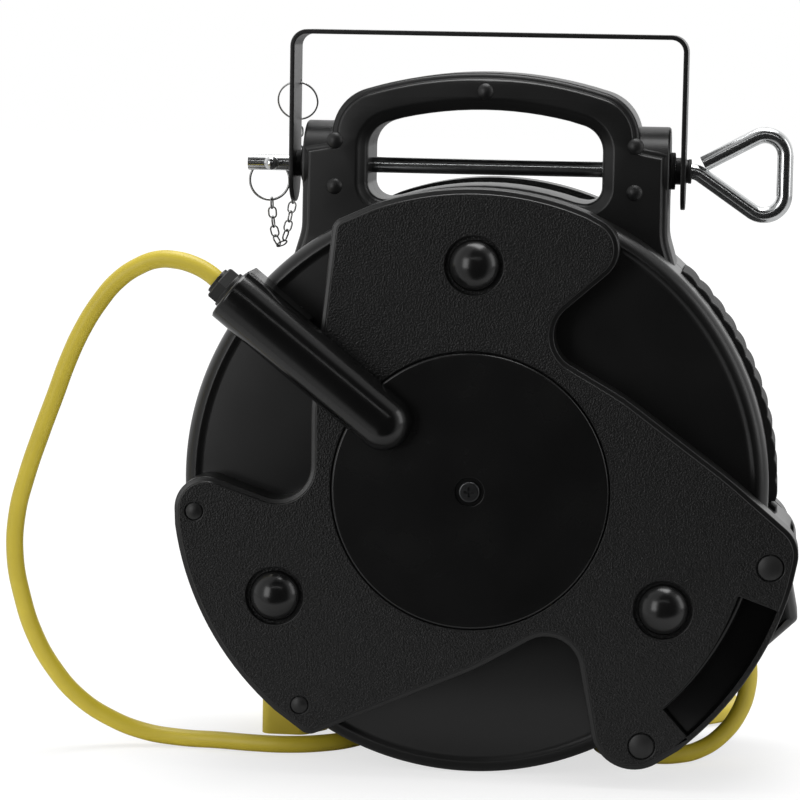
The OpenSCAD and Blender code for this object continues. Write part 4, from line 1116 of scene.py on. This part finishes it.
def build_handle():
    mesh = bmesh.new()
    slab_into(mesh, handle_outline, OUTER_STEP, 0, holes=[opening_outline], hole_rows=INNER_STEP)
    return mesh


handle_half = finish_mesh("front_handle_half", build_handle(), "housing", handle_abs, "handle",
                          ["handle_front"])
mirrored_piece(handle_half, "rear_handle_half", "housing", ["handle_rear"])


def ear_piece():
    mesh = bmesh.new()
    start = EAR_INNER - 2
    rounding = arc_profile((EAR_R - 1.5, EAR_X - 1.5), 1.5, 0, 90, 4)
    profile = [(0, start), (EAR_R, start)] + rounding + [(0, EAR_X)]
    for side in (-1, 1):
        lathe_into(mesh, profile, (0, 0, PIN_Z), (side, 0, 0), 96)
    return mesh


finish_mesh("handle_ears", ear_piece(), "housing", handle_abs, "handle")

# %% [markdown]
# Low caps cover the handle's screws: two at each ear and one in the middle of the grip. They are the
# covers' domes once more, made by turning instead of by the tree, because they lie on no circle.

# %% Handle caps
HANDLE_CAPS = [(x, PIN_UP + up) for x in (88.7, -88.7) for up in (15, -12)] + [(0, GRIP_R - GRIP_W / 2)]
handle_cap = dome_profile(HANDLE_HALF - 0.6, 4.9, 0.5, 2.6)
for side, name in ((-1, "front_handle_caps"), (1, "rear_handle_caps")):
    turned_piece(name, [(handle_cap, (x, 0, up + AXIS_Z), (0, side, 0)) for x, up in HANDLE_CAPS], "housing",
                 cap_plastic, "trim", ["handle_caps"] if side < 0 else (), segments=40)

# %% [markdown]
# ## The rub strip
# A rubber strip with rounded scallops wraps the drum's right side, so the reel can lean on a wall. It
# is thick at the bottom, next to the mouth, and thins out towards its upper end. Its outline follows
# a rule, an arch of so many steps between two notches, so it is worked out point by point.

# %% Scalloped strip
STRIP_ANGLES, SCALLOPS, STRIP_HALF = (-2.6, 47), 12, 26
STRIP_THICK, STRIP_BULGE = (4.2, 1.4), 1.1
ARCH_STEPS, STRIP_EDGE = 10, 0.5


def strip_outline():
    """The strip thins out towards its upper end, and each scallop is an arch between two notches."""
    low, high = STRIP_ANGLES
    outer = []
    for i in range(ARCH_STEPS * SCALLOPS + 1):
        share, f = i / (ARCH_STEPS * SCALLOPS), i % ARCH_STEPS / ARCH_STEPS
        thick = STRIP_THICK[0] + (STRIP_THICK[1] - STRIP_THICK[0]) * share
        arch = STRIP_BULGE * (1 - (2 * f - 1) ** 2)
        outer.append(polar(DRUM_R + thick + arch, low + (high - low) * share))
    return outer + arc(DRUM_R - 1, high, low, 30)


strip_mesh = bmesh.new()
strip_rows = [(STRIP_EDGE, 0), (0, STRIP_EDGE), (0, 2 * STRIP_HALF - STRIP_EDGE),
              (STRIP_EDGE, 2 * STRIP_HALF)]
slab_into(strip_mesh, strip_outline(), strip_rows, STRIP_HALF)
finish_mesh("scalloped_rub_strip", strip_mesh, "housing", matt_rubber, "rubber", ["rub_strip"], sharp=30)

# %% [markdown]
# ## The cord lip
# Under the upper roller a wedge keeps the cord off the housing's edge. It is a short slab whose front
# edge is rounded in large steps.

# %% Cord lip
LIP_WIDTH = 38
LIP_EDGE = [(0, 9), (0.7, 5.5), (2.4, 2.4), (4.6, 0.7), (6.5, 0)]
lip_root = MOUTH_R - MOUTH_INSET - 2
lip_outline = rounded([corner(polar(lip_root, -29.5)), corner(polar(MOUTH_R + 4.2, -28.4), 1),
                       corner(polar(MOUTH_R + 13, -22), 4), corner(polar(MOUTH_R + 3.9, -17.7), 2),
                       corner(polar(lip_root, -14))])
lip_mesh = bmesh.new()
slab_into(lip_mesh, lip_outline, [(0, 0)] + [(less, LIP_WIDTH - down) for less, down in LIP_EDGE], 0)
finish_mesh("cord_lip_wedge", lip_mesh, "housing", handle_abs, "handle", ["cord_lip"])

# %% [markdown]
# ## The bracket
# A steel strip, cut flat and folded twice. It is made the way a sheet-metal shop makes it: the flat
# blank with its holes and round ends first, then extra cuts where it bends, and last the fold, which
# moves each point from its distance along the strip to its place on the U.

# %% Bracket blank and fold
LEG_X, SHEET_T, STRIP_W, BEND_R, LEG_END = 115, 2.7, 34, 10, 6
HOLE_PITCH, HOLE_D, BUSH_R = 75, 9, 6
RING_HOLE_DOWN, RING_HOLE_BACK, RING_HOLE_R = 32, 12.5, 2
FOLD_STEPS = 10
flat_top = LEG_X + SHEET_T - BEND_R
bend_length = math.pi / 2 * (BEND_R - SHEET_T / 2)
leg_length = -PIN_Z - BEND_R + LEG_END
blank_half = flat_top + bend_length + leg_length


def fold(s, y, t):
    """s runs along the strip from its middle, t is the height in the sheet from its inner face."""
    side = 1 if s >= 0 else -1
    s = abs(s)
    if s <= flat_top:
        x, z = s, -SHEET_T + t
    elif s <= flat_top + bend_length:
        a = (s - flat_top) / (BEND_R - SHEET_T / 2)
        r = BEND_R - SHEET_T + t
        x, z = flat_top + r * math.sin(a), -BEND_R + r * math.cos(a)
    else:
        x, z = LEG_X + t, -BEND_R - (s - flat_top - bend_length)
    return Vector((side * x, y, z)) * MM


def build_bracket():
    half = STRIP_W / 2
    blank = [Vector((blank_half, 0)) + polar(half, a) for a in range(-90, 91, 6)]
    blank += [Vector((-blank_half, 0)) + polar(half, a) for a in range(90, 271, 6)]
    pin_at = flat_top + bend_length - PIN_Z - BEND_R
    holes = [circle((k * HOLE_PITCH, 0), HOLE_D / 2, 40) for k in (-1, 0, 1)]
    holes += [circle((side * pin_at, 0), BUSH_R, 40) for side in (-1, 1)]
    holes += [circle((-(flat_top + bend_length + RING_HOLE_DOWN - BEND_R), RING_HOLE_BACK), RING_HOLE_R, 24)]
    mesh = bmesh.new()
    rows = [(0.5, 0), (0.15, 0.15), (0, 0.5), (0, SHEET_T - 0.5), (0.15, SHEET_T - 0.15), (0.5, SHEET_T)]
    slab_into(mesh, blank, rows, 0, holes=holes, hole_rows=[(0, 0), (0, SHEET_T)])
    for v in mesh.verts:
        v.co = Vector((v.co.x / MM, v.co.z / MM - AXIS_Z, -v.co.y / MM))
    for side in (-1, 1):
        for k in range(FOLD_STEPS + 1):
            cut = (side * (flat_top + bend_length * k / FOLD_STEPS), 0, 0)
            geometry = mesh.verts[:] + mesh.edges[:] + mesh.faces[:]
            bmesh.ops.bisect_plane(mesh, geom=geometry, plane_co=cut, plane_no=(1, 0, 0))
    for v in mesh.verts:
        v.co = fold(*v.co)
    return mesh


finish_mesh("hanger_bracket", build_bracket(), "hanger", bracket_coat, "bracket", ["bracket"], sharp=30)

# %% [markdown]
# ## The hanging pin
# The pin is one chromed rod, bent to a triangular pull handle. It is a curve with a round bevel,
# made a mesh. Its centre line is a list of corners with bend radii, as for an outline, but open.

# %% Rods and wires


def poly_curve(name, points):
    """A straight-sided curve through points, in millimetres in the row frame."""
    curve = bpy.data.curves.new(name, "CURVE")
    curve.dimensions = "3D"
    spline = curve.splines.new("POLY")
    spline.points.add(len(points) - 1)
    for knot, point in zip(spline.points, points):
        knot.co = (*(Vector(point) * MM), 1)
    return curve


def wire_data(name, points, diameter, cyclic=False, resolution=8):
    """A wire along points, with a round section."""
    curve = poly_curve(name, points)
    curve.splines[0].use_cyclic_u = cyclic
    curve.bevel_depth = diameter / 2 * MM
    curve.bevel_resolution = resolution
    curve.use_fill_caps = True
    return evaluated_mesh(put(name + "_curve", curve))


def wire_mesh(name, points, diameter, cyclic=False, resolution=8):
    mesh = bmesh.new()
    mesh.from_mesh(wire_data(name, points, diameter, cyclic, resolution))
    return mesh


def bent_rod(corners):
    """Centre line of a rod bent at corners (x, up, bend radius)."""
    flat = [Vector(c[:2]) for c in corners]
    points = flat[:1]
    for i in range(1, len(flat) - 1):
        points += arc_at(*flat[i - 1:i + 2], corners[i][2])
    return [(p.x, 0, p.y + PIN_Z) for p in points + flat[-1:]]


PIN_D, PIN_LEFT, LEG_OUT = 9.5, -144.4, 117.7
pin_corners = [(PIN_LEFT, 0, 0), (LEG_OUT + 6.3, 0, 10), (176, -35.6, 12), (176, 30.5, 12), (128, 4.6, 0)]
finish_mesh("hanging_pin_rod", wire_mesh("pin", bent_rod(pin_corners), PIN_D, resolution=12), "hanger",
            chrome, "chrome", ["hanging_pin"], sharp=40)

# %% [markdown]
# ## The lynch pin and its rings
# A lynch pin goes through the hanging pin's end and stops it: a ball on top, and a stub below with a
# hoop that snaps over. A split ring through the bracket's leg holds the chain. The ball and the stub
# are turned, the hoop and the split ring are wires, and the split ring has two turns side by side.

# %% Lynch pin, hoop and split ring
LYNCH_X, HOOP_X, HOOP_R, HOOP_UP, HOOP_WIRE = -129.5, -133, 12, 1, 1.5
HOOP_Y = PIN_D / 2 + 4.2
BALL_R, STUB_R = 4.3, 2.8
ball_profile = ([(0, PIN_D / 2 + 7.9)] + arc_profile((0, PIN_D / 2 + 3.6), BALL_R, 90, -35, 12)
                + [(STUB_R, PIN_D / 2 - 1)])
stub_profile = [(STUB_R, 0), (3.8, HOOP_Y - 3.5), (3.8, HOOP_Y + 2.8), (3.1, HOOP_Y + 3.5), (0, HOOP_Y + 3.5)]
turned_piece("lynch_pin_ball", [(ball_profile, (LYNCH_X, 0, PIN_Z), (0, -1, 0)),
                                (stub_profile, (LYNCH_X, 0, PIN_Z), (0, 1, 0))],
             "hanger", chrome, "chrome", ["lynch_pin"], segments=48)


def ring_points(centre, radius, steps=64):
    """A ring that stands upright and faces the front."""
    turns = [2 * math.pi * k / steps for k in range(steps)]
    return [Vector(centre) + Vector((radius * math.cos(a), 0, radius * math.sin(a))) for a in turns]


hoop_middle = (HOOP_X, HOOP_Y, PIN_Z + HOOP_UP - HOOP_R)
finish_mesh("lynch_ring", wire_mesh("hoop", ring_points(hoop_middle, HOOP_R), HOOP_WIRE, cyclic=True,
                                    resolution=4), "hoop", nickel, "chrome", ["lynch_hoop"], sharp=60)

SPLIT_AT, SPLIT_R, SPLIT_TILT = Vector((-116.35, 12.5, -32)), 12, 20
SPLIT_STEPS, SPLIT_PITCH = 48, 1.1


def split_ring_points():
    """Two turns of wire side by side, which pass through the hole and round the leg's rear edge."""
    tilt = Matrix.Rotation(math.radians(SPLIT_TILT), 3, "X")
    turns = []
    for k in range(2 * SPLIT_STEPS + 1):
        a = 2 * math.pi * k / SPLIT_STEPS
        back = SPLIT_PITCH * (k / (2 * SPLIT_STEPS) - 0.5)
        turns.append(SPLIT_AT + tilt @ Vector((SPLIT_R * math.cos(a) - 1.1, back,
                                                0.05 - SPLIT_R + SPLIT_R * math.sin(a))))
    return turns


finish_mesh("leg_split_ring", wire_mesh("split", split_ring_points(), 1, resolution=4), "hanger", nickel,
            "chrome", ["split_ring"], sharp=60)
print("split ring:", len(split_ring_points()), "points in two turns")

# %% [markdown]
# ## The chain
# The chain hangs from the split ring in a loose bow to the hoop. One link is a wire bent to a
# racetrack. A Geometry Nodes tree sets it along the bow's path at equal steps, every second one
# turned by a quarter about the path, as neighbours in a real chain stand.

# %% The chain's path and its tree
LINK_LENGTH, LINK_W, LINK_WIRE = 7.9, 5.8, 1.1
CHAIN_PATH = [(-117.4, 20.9, -53.3), (-117.4, 22, -64), (-117.6, 22.6, -76), (-118.2, 22.4, -88),
              (-119.2, 21.2, -98), (-120.6, 19, -107), (-122, 17.4, -116), (-123.6, 15.4, -124),
              (-126.3, 13, -131), (-129, 11.6, -127), (-130.6, 10.6, -118), (-131.3, 9.6, -109),
              (-131.6, 8.95, -102)]


def chain_tree():
    """Geometry Nodes: one link repeated along a path, every second one turned a quarter about it."""
    tree = bpy.data.node_groups.new("links_on_a_path", "GeometryNodeTree")
    named_input(tree, "Geometry", "NodeSocketGeometry")
    named_input(tree, "Link", "NodeSocketObject")
    named_input(tree, "Count", "NodeSocketInt", 19)
    named_input(tree, "First", "NodeSocketFloat")
    named_input(tree, "Last", "NodeSocketFloat")
    named_input(tree, "Finish", "NodeSocketMaterial")
    tree.interface.new_socket("Geometry", in_out="OUTPUT", socket_type="NodeSocketGeometry")
    given = add(tree, "NodeGroupInput").outputs
    middle = add(tree, "GeometryNodeTrimCurve", {"Curve": given["Geometry"]}, mode="LENGTH")
    tree.links.new(given["First"], middle.inputs[4])
    tree.links.new(given["Last"], middle.inputs[5])
    points = add(tree, "GeometryNodeCurveToPoints",
                 {"Curve": middle.outputs["Curve"], "Count": given["Count"]})
    index = add(tree, "GeometryNodeInputIndex").outputs["Index"]
    odd = add(tree, "ShaderNodeMath", {0: index, 1: 2.0}, operation="MODULO").outputs[0]
    quarter = add(tree, "ShaderNodeMath", {0: odd, 1: math.pi / 2}, operation="MULTIPLY").outputs[0]
    roll = add(tree, "ShaderNodeCombineXYZ", {"X": quarter}).outputs["Vector"]
    along = add(tree, "FunctionNodeAlignRotationToVector", {"Vector": points.outputs["Tangent"]}, axis="X",
                pivot_axis="AUTO")
    rolled = add(tree, "FunctionNodeRotateRotation",
                 {"Rotation": along.outputs["Rotation"], "Rotate By": roll}, rotation_space="LOCAL")
    repeat_on(tree, {"Points": points.outputs["Points"], "Rotation": rolled.outputs["Rotation"]},
              given["Link"], given["Finish"])
    return tree


CHAIN_LENGTH = sum((Vector(b) - Vector(a)).length for a, b in zip(CHAIN_PATH, CHAIN_PATH[1:]))
LINK_COUNT = 2 * int(CHAIN_LENGTH / (LINK_LENGTH - 2 * LINK_WIRE - 0.1) / 2) + 1
print("chain:", LINK_COUNT, "links on", round(CHAIN_LENGTH, 1), "mm")

# %% [markdown]
# A link has few faces, because it is repeated. The chain hangs between two bodies, the bracket's
# ring at one end and the hoop at the other, and here it is one fixed mesh along its bow.

# %% A link, and the chain made of it


def link_points():
    """A link is a racetrack: two half circles joined by short straights."""
    straight, bend = (LINK_LENGTH - LINK_W) / 2, (LINK_W - LINK_WIRE) / 2
    return [(end * straight + bend * math.cos(math.radians(a)), bend * math.sin(math.radians(a)), 0)
            for end, first in ((1, -90), (-1, 90)) for a in range(first, first + 181, 15)]


def chain_piece():
    """The links on their path, as one mesh from the bracket's ring to the hoop."""
    one = put("one_link", wire_data("link", link_points(), LINK_WIRE, cyclic=True, resolution=2))
    half_step = CHAIN_LENGTH / LINK_COUNT / 2 * MM
    data = run_tree(put("chain_path", poly_curve("chain_path", CHAIN_PATH)), chain_tree(),
                    {"Link": one, "Count": LINK_COUNT, "Finish": nickel, "First": half_step,
                     "Last": CHAIN_LENGTH * MM - half_step})
    bpy.data.objects.remove(one)
    data.polygons.foreach_set("use_smooth", [True] * len(data.polygons))
    piece = put("lynch_chain", data)
    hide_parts("chain")
    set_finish(piece, "chrome")
    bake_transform(piece)


chain_piece()

# %% [markdown]
# ## Small rings on the pin
# Plastic bushes line the bracket's legs, rubber washers sit between the ears and the legs, and a
# rubber collar keeps the pin from sliding in. Each is a turned section about the pin's axis.

# %% Bushes, washers and the collar on the pin
RINGS = {
    "bracket_bushes": [(4.8, 111.7), (8, 111.7), (8, 114.9), (6, 114.9), (6, 117.7), (7, 117.7), (7, 118.7),
                       (6.7, 119), (4.8, 119)],
    "handle_washers": [(4.9, 108.5), (10.6, 108.5), (11, 108.9), (11, 111.1), (10.6, 111.5), (4.9, 111.5)],
    "pin_rubber_collar": [(4.8, 119), (7, 119), (7.25, 119.3), (7.25, 120.7), (7, 121), (4.8, 121)]}


def pin_rings(name, sides, body, finish, slot, node):
    turned_piece(name, [(RINGS[name], (0, 0, PIN_Z), (side, 0, 0)) for side in sides], body, finish, slot,
                 [node], segments=64)


pin_rings("bracket_bushes", (-1, 1), "hanger", cap_plastic, "trim", "leg_bushes")
pin_rings("handle_washers", (-1, 1), "housing", matt_rubber, "rubber", "ear_washers")
pin_rings("pin_rubber_collar", (1,), "hanger", matt_rubber, "rubber", "pin_collar")

# %% [markdown]
# ## Plain solids that stay
# What sits inside the drum shows only through the window. Those solids keep their shape and get
# their finish.

# %% Finishes for the solids that stay
KEPT = {
    "case_bolts": zinc, "upper_roller": inner_plastic, "lower_roller": inner_plastic, "roller_axles": zinc,
    "main_axle": zinc, "spool_front_half": inner_plastic, "spool_rear_half": inner_plastic,
    "spool_bushes": brass, "wound_cord": jacket, "slip_rings": copper, "brush_block": inner_plastic,
    "ratchet": zinc, "pawl": zinc, "pawl_pin": zinc, "spring_case": zinc, "power_spring": zinc,
    "feed_cord": jacket, "tap_body": moulded_yellow, "plug_body": moulded_yellow, "plug_blades": brass}
for node, finish in KEPT.items():
    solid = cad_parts[node]
    solid.data.materials.clear()
    solid.data.materials.append(finish)
print("solids that stay:", len(KEPT))

# %% [markdown]
# ## Light and floor
# Black plastic shows only what it reflects, so the studio is built for reflections. Its walls are
# light grey with a brighter back wall, and a dark opening round the camera keeps the flat faces
# black. The camera itself sees plain white. The world's plain light, apart from reflections, is even.

# %% World
DARK_OPENING = Vector((0.3, -1, 0.08)).normalized()
OPENING_EDGE, OPENING_LEVEL = (0.58, 0.82), 0.01
BACK_WALL_EDGE = (-0.5, 0.2)
WALL_LEVEL, FILL_LEVEL = 0.5, 0.62
FLATTEN = (1, 1, 0.45)


def make_world():
    """Side walls and a white back wall for reflections, with a dark opening round the camera."""
    world = bpy.data.worlds.new("studio")
    world.use_nodes = True
    tree = world.node_tree
    tree.nodes.clear()
    path = add(tree, "ShaderNodeLightPath").outputs
    direction = add(tree, "ShaderNodeTexCoord").outputs["Generated"]
    lower = add(tree, "ShaderNodeVectorMath", {0: direction, 1: FLATTEN}, operation="MULTIPLY").outputs[0]
    unit = add(tree, "ShaderNodeVectorMath", {0: lower}, operation="NORMALIZE").outputs[0]
    toward = add(tree, "ShaderNodeVectorMath", {0: unit, 1: DARK_OPENING}, operation="DOT_PRODUCT")
    facing = toward.outputs["Value"]
    sides = add(tree, "ShaderNodeMapRange",
                {"Value": facing, "From Min": OPENING_EDGE[0], "From Max": OPENING_EDGE[1],
                 "To Min": WALL_LEVEL, "To Max": OPENING_LEVEL}, interpolation_type="SMOOTHSTEP")
    back = add(tree, "ShaderNodeMapRange",
               {"Value": facing, "From Min": BACK_WALL_EDGE[0], "From Max": BACK_WALL_EDGE[1],
                "To Min": 1 - WALL_LEVEL, "To Max": 0})
    walls = add(tree, "ShaderNodeMath", {0: sides.outputs["Result"], 1: back.outputs["Result"]},
                operation="ADD")
    shiny = add(tree, "ShaderNodeMix", {0: path["Is Glossy Ray"], 2: FILL_LEVEL, 3: walls.outputs[0]})
    seen = add(tree, "ShaderNodeMath", {0: path["Is Camera Ray"], 1: path["Is Transmission Ray"]},
               operation="MAXIMUM")
    level = add(tree, "ShaderNodeMix", {0: seen.outputs[0], 2: shiny.outputs[0], 3: 1.0})
    light = add(tree, "ShaderNodeBackground", {"Color": (1, 1, 1, 1), "Strength": level.outputs[0]})
    add(tree, "ShaderNodeOutputWorld", {"Surface": light.outputs[0]})
    bpy.context.scene.world = world


make_world()
print("studio: walls", WALL_LEVEL, "opening", OPENING_LEVEL, "fill", FILL_LEVEL)

# %% [markdown]
# The floor is white paper. A large plane reaches far behind the reel and fades into the white behind
# it. Near the reel it keeps part of its shadow, and farther off the camera sees it burnt out to
# white. For reflections it is greyer, or it would brighten the black plastic from below.

# %% Floor
FLOOR_SIZE, FLOOR_BACK, FLOOR_GAP = 10, 4.75, 0.0002
SHADOW_R, WHITE_R = 0.35, 0.9
SHADOW_SHARE, PAPER, PAPER_REFLECTED, BURNT = 0.62, 0.9, 0.5, 1.1


def make_floor():
    material, tree, place = new_material("white_floor")
    path = add(tree, "ShaderNodeLightPath").outputs
    away = add(tree, "ShaderNodeVectorMath", {0: place, 1: (0, -FLOOR_BACK, 0)}, operation="DISTANCE")
    share = add(tree, "ShaderNodeMapRange",
                {"Value": away.outputs["Value"], "From Min": SHADOW_R, "From Max": WHITE_R,
                 "To Min": SHADOW_SHARE, "To Max": 1.0}).outputs["Result"]
    burnt = add(tree, "ShaderNodeMath", {0: path["Is Camera Ray"], 1: share}, operation="MULTIPLY").outputs[0]
    tone = add(tree, "ShaderNodeMapRange",
               {"Value": path["Is Glossy Ray"], "To Min": PAPER, "To Max": PAPER_REFLECTED})
    paper = add(tree, "ShaderNodeBsdfDiffuse", {"Color": tone.outputs["Result"]})
    white = add(tree, "ShaderNodeEmission", {"Color": (1, 1, 1, 1), "Strength": BURNT})
    mix = add(tree, "ShaderNodeMixShader", {0: burnt, 1: paper.outputs[0], 2: white.outputs[0]})
    add(tree, "ShaderNodeOutputMaterial", {"Surface": mix.outputs[0]})
    bpy.ops.mesh.primitive_plane_add(size=FLOOR_SIZE, location=(0, FLOOR_BACK, FLOOR_Z * MM - FLOOR_GAP))
    floor = bpy.context.object
    floor.name = "paper_floor"
    floor.data.materials.append(material)


make_floor()
print("floor:", FLOOR_SIZE, "m square")

# %% [markdown]
# Four area lamps do the rest. The top lamp is the strongest and lays the light bands on the drum's
# rim and the handle. The key lamp, from the front left, models the covers' edges. A thin strip ahead
# draws fine lines on the domes and the inlet, and a soft lamp on the right opens the drum's side.

# %% Lamps
REEL = (0, 0, -0.22)
UNDER_HANDLE = (0, 0, -0.1)


def lamp(name, place, aim, width, height, power):
    data = bpy.data.lights.new(name, "AREA")
    data.shape, data.size, data.size_y, data.energy = "RECTANGLE", width, height, power
    light = put(name, data)
    light.location = place
    light.rotation_euler = (Vector(aim) - Vector(place)).to_track_quat("-Z", "Y").to_euler()
    print(f"{name}: {power} W, {width} x {height} m")


lamp("key_left", (-1.1, -1.7, 0.15), REEL, 0.75, 1.3, 8)
lamp("strip_ahead", (0.1, -1.25, 0.55), UNDER_HANDLE, 1.2, 0.06, 0.5)
lamp("soft_right", (2.0, -0.3, 0.5), REEL, 0.6, 1.6, 5)
lamp("top", (0.1, 0.2, 1.7), REEL, 1.6, 1.2, 34)
bpy.context.scene.view_settings.view_transform = "Standard"
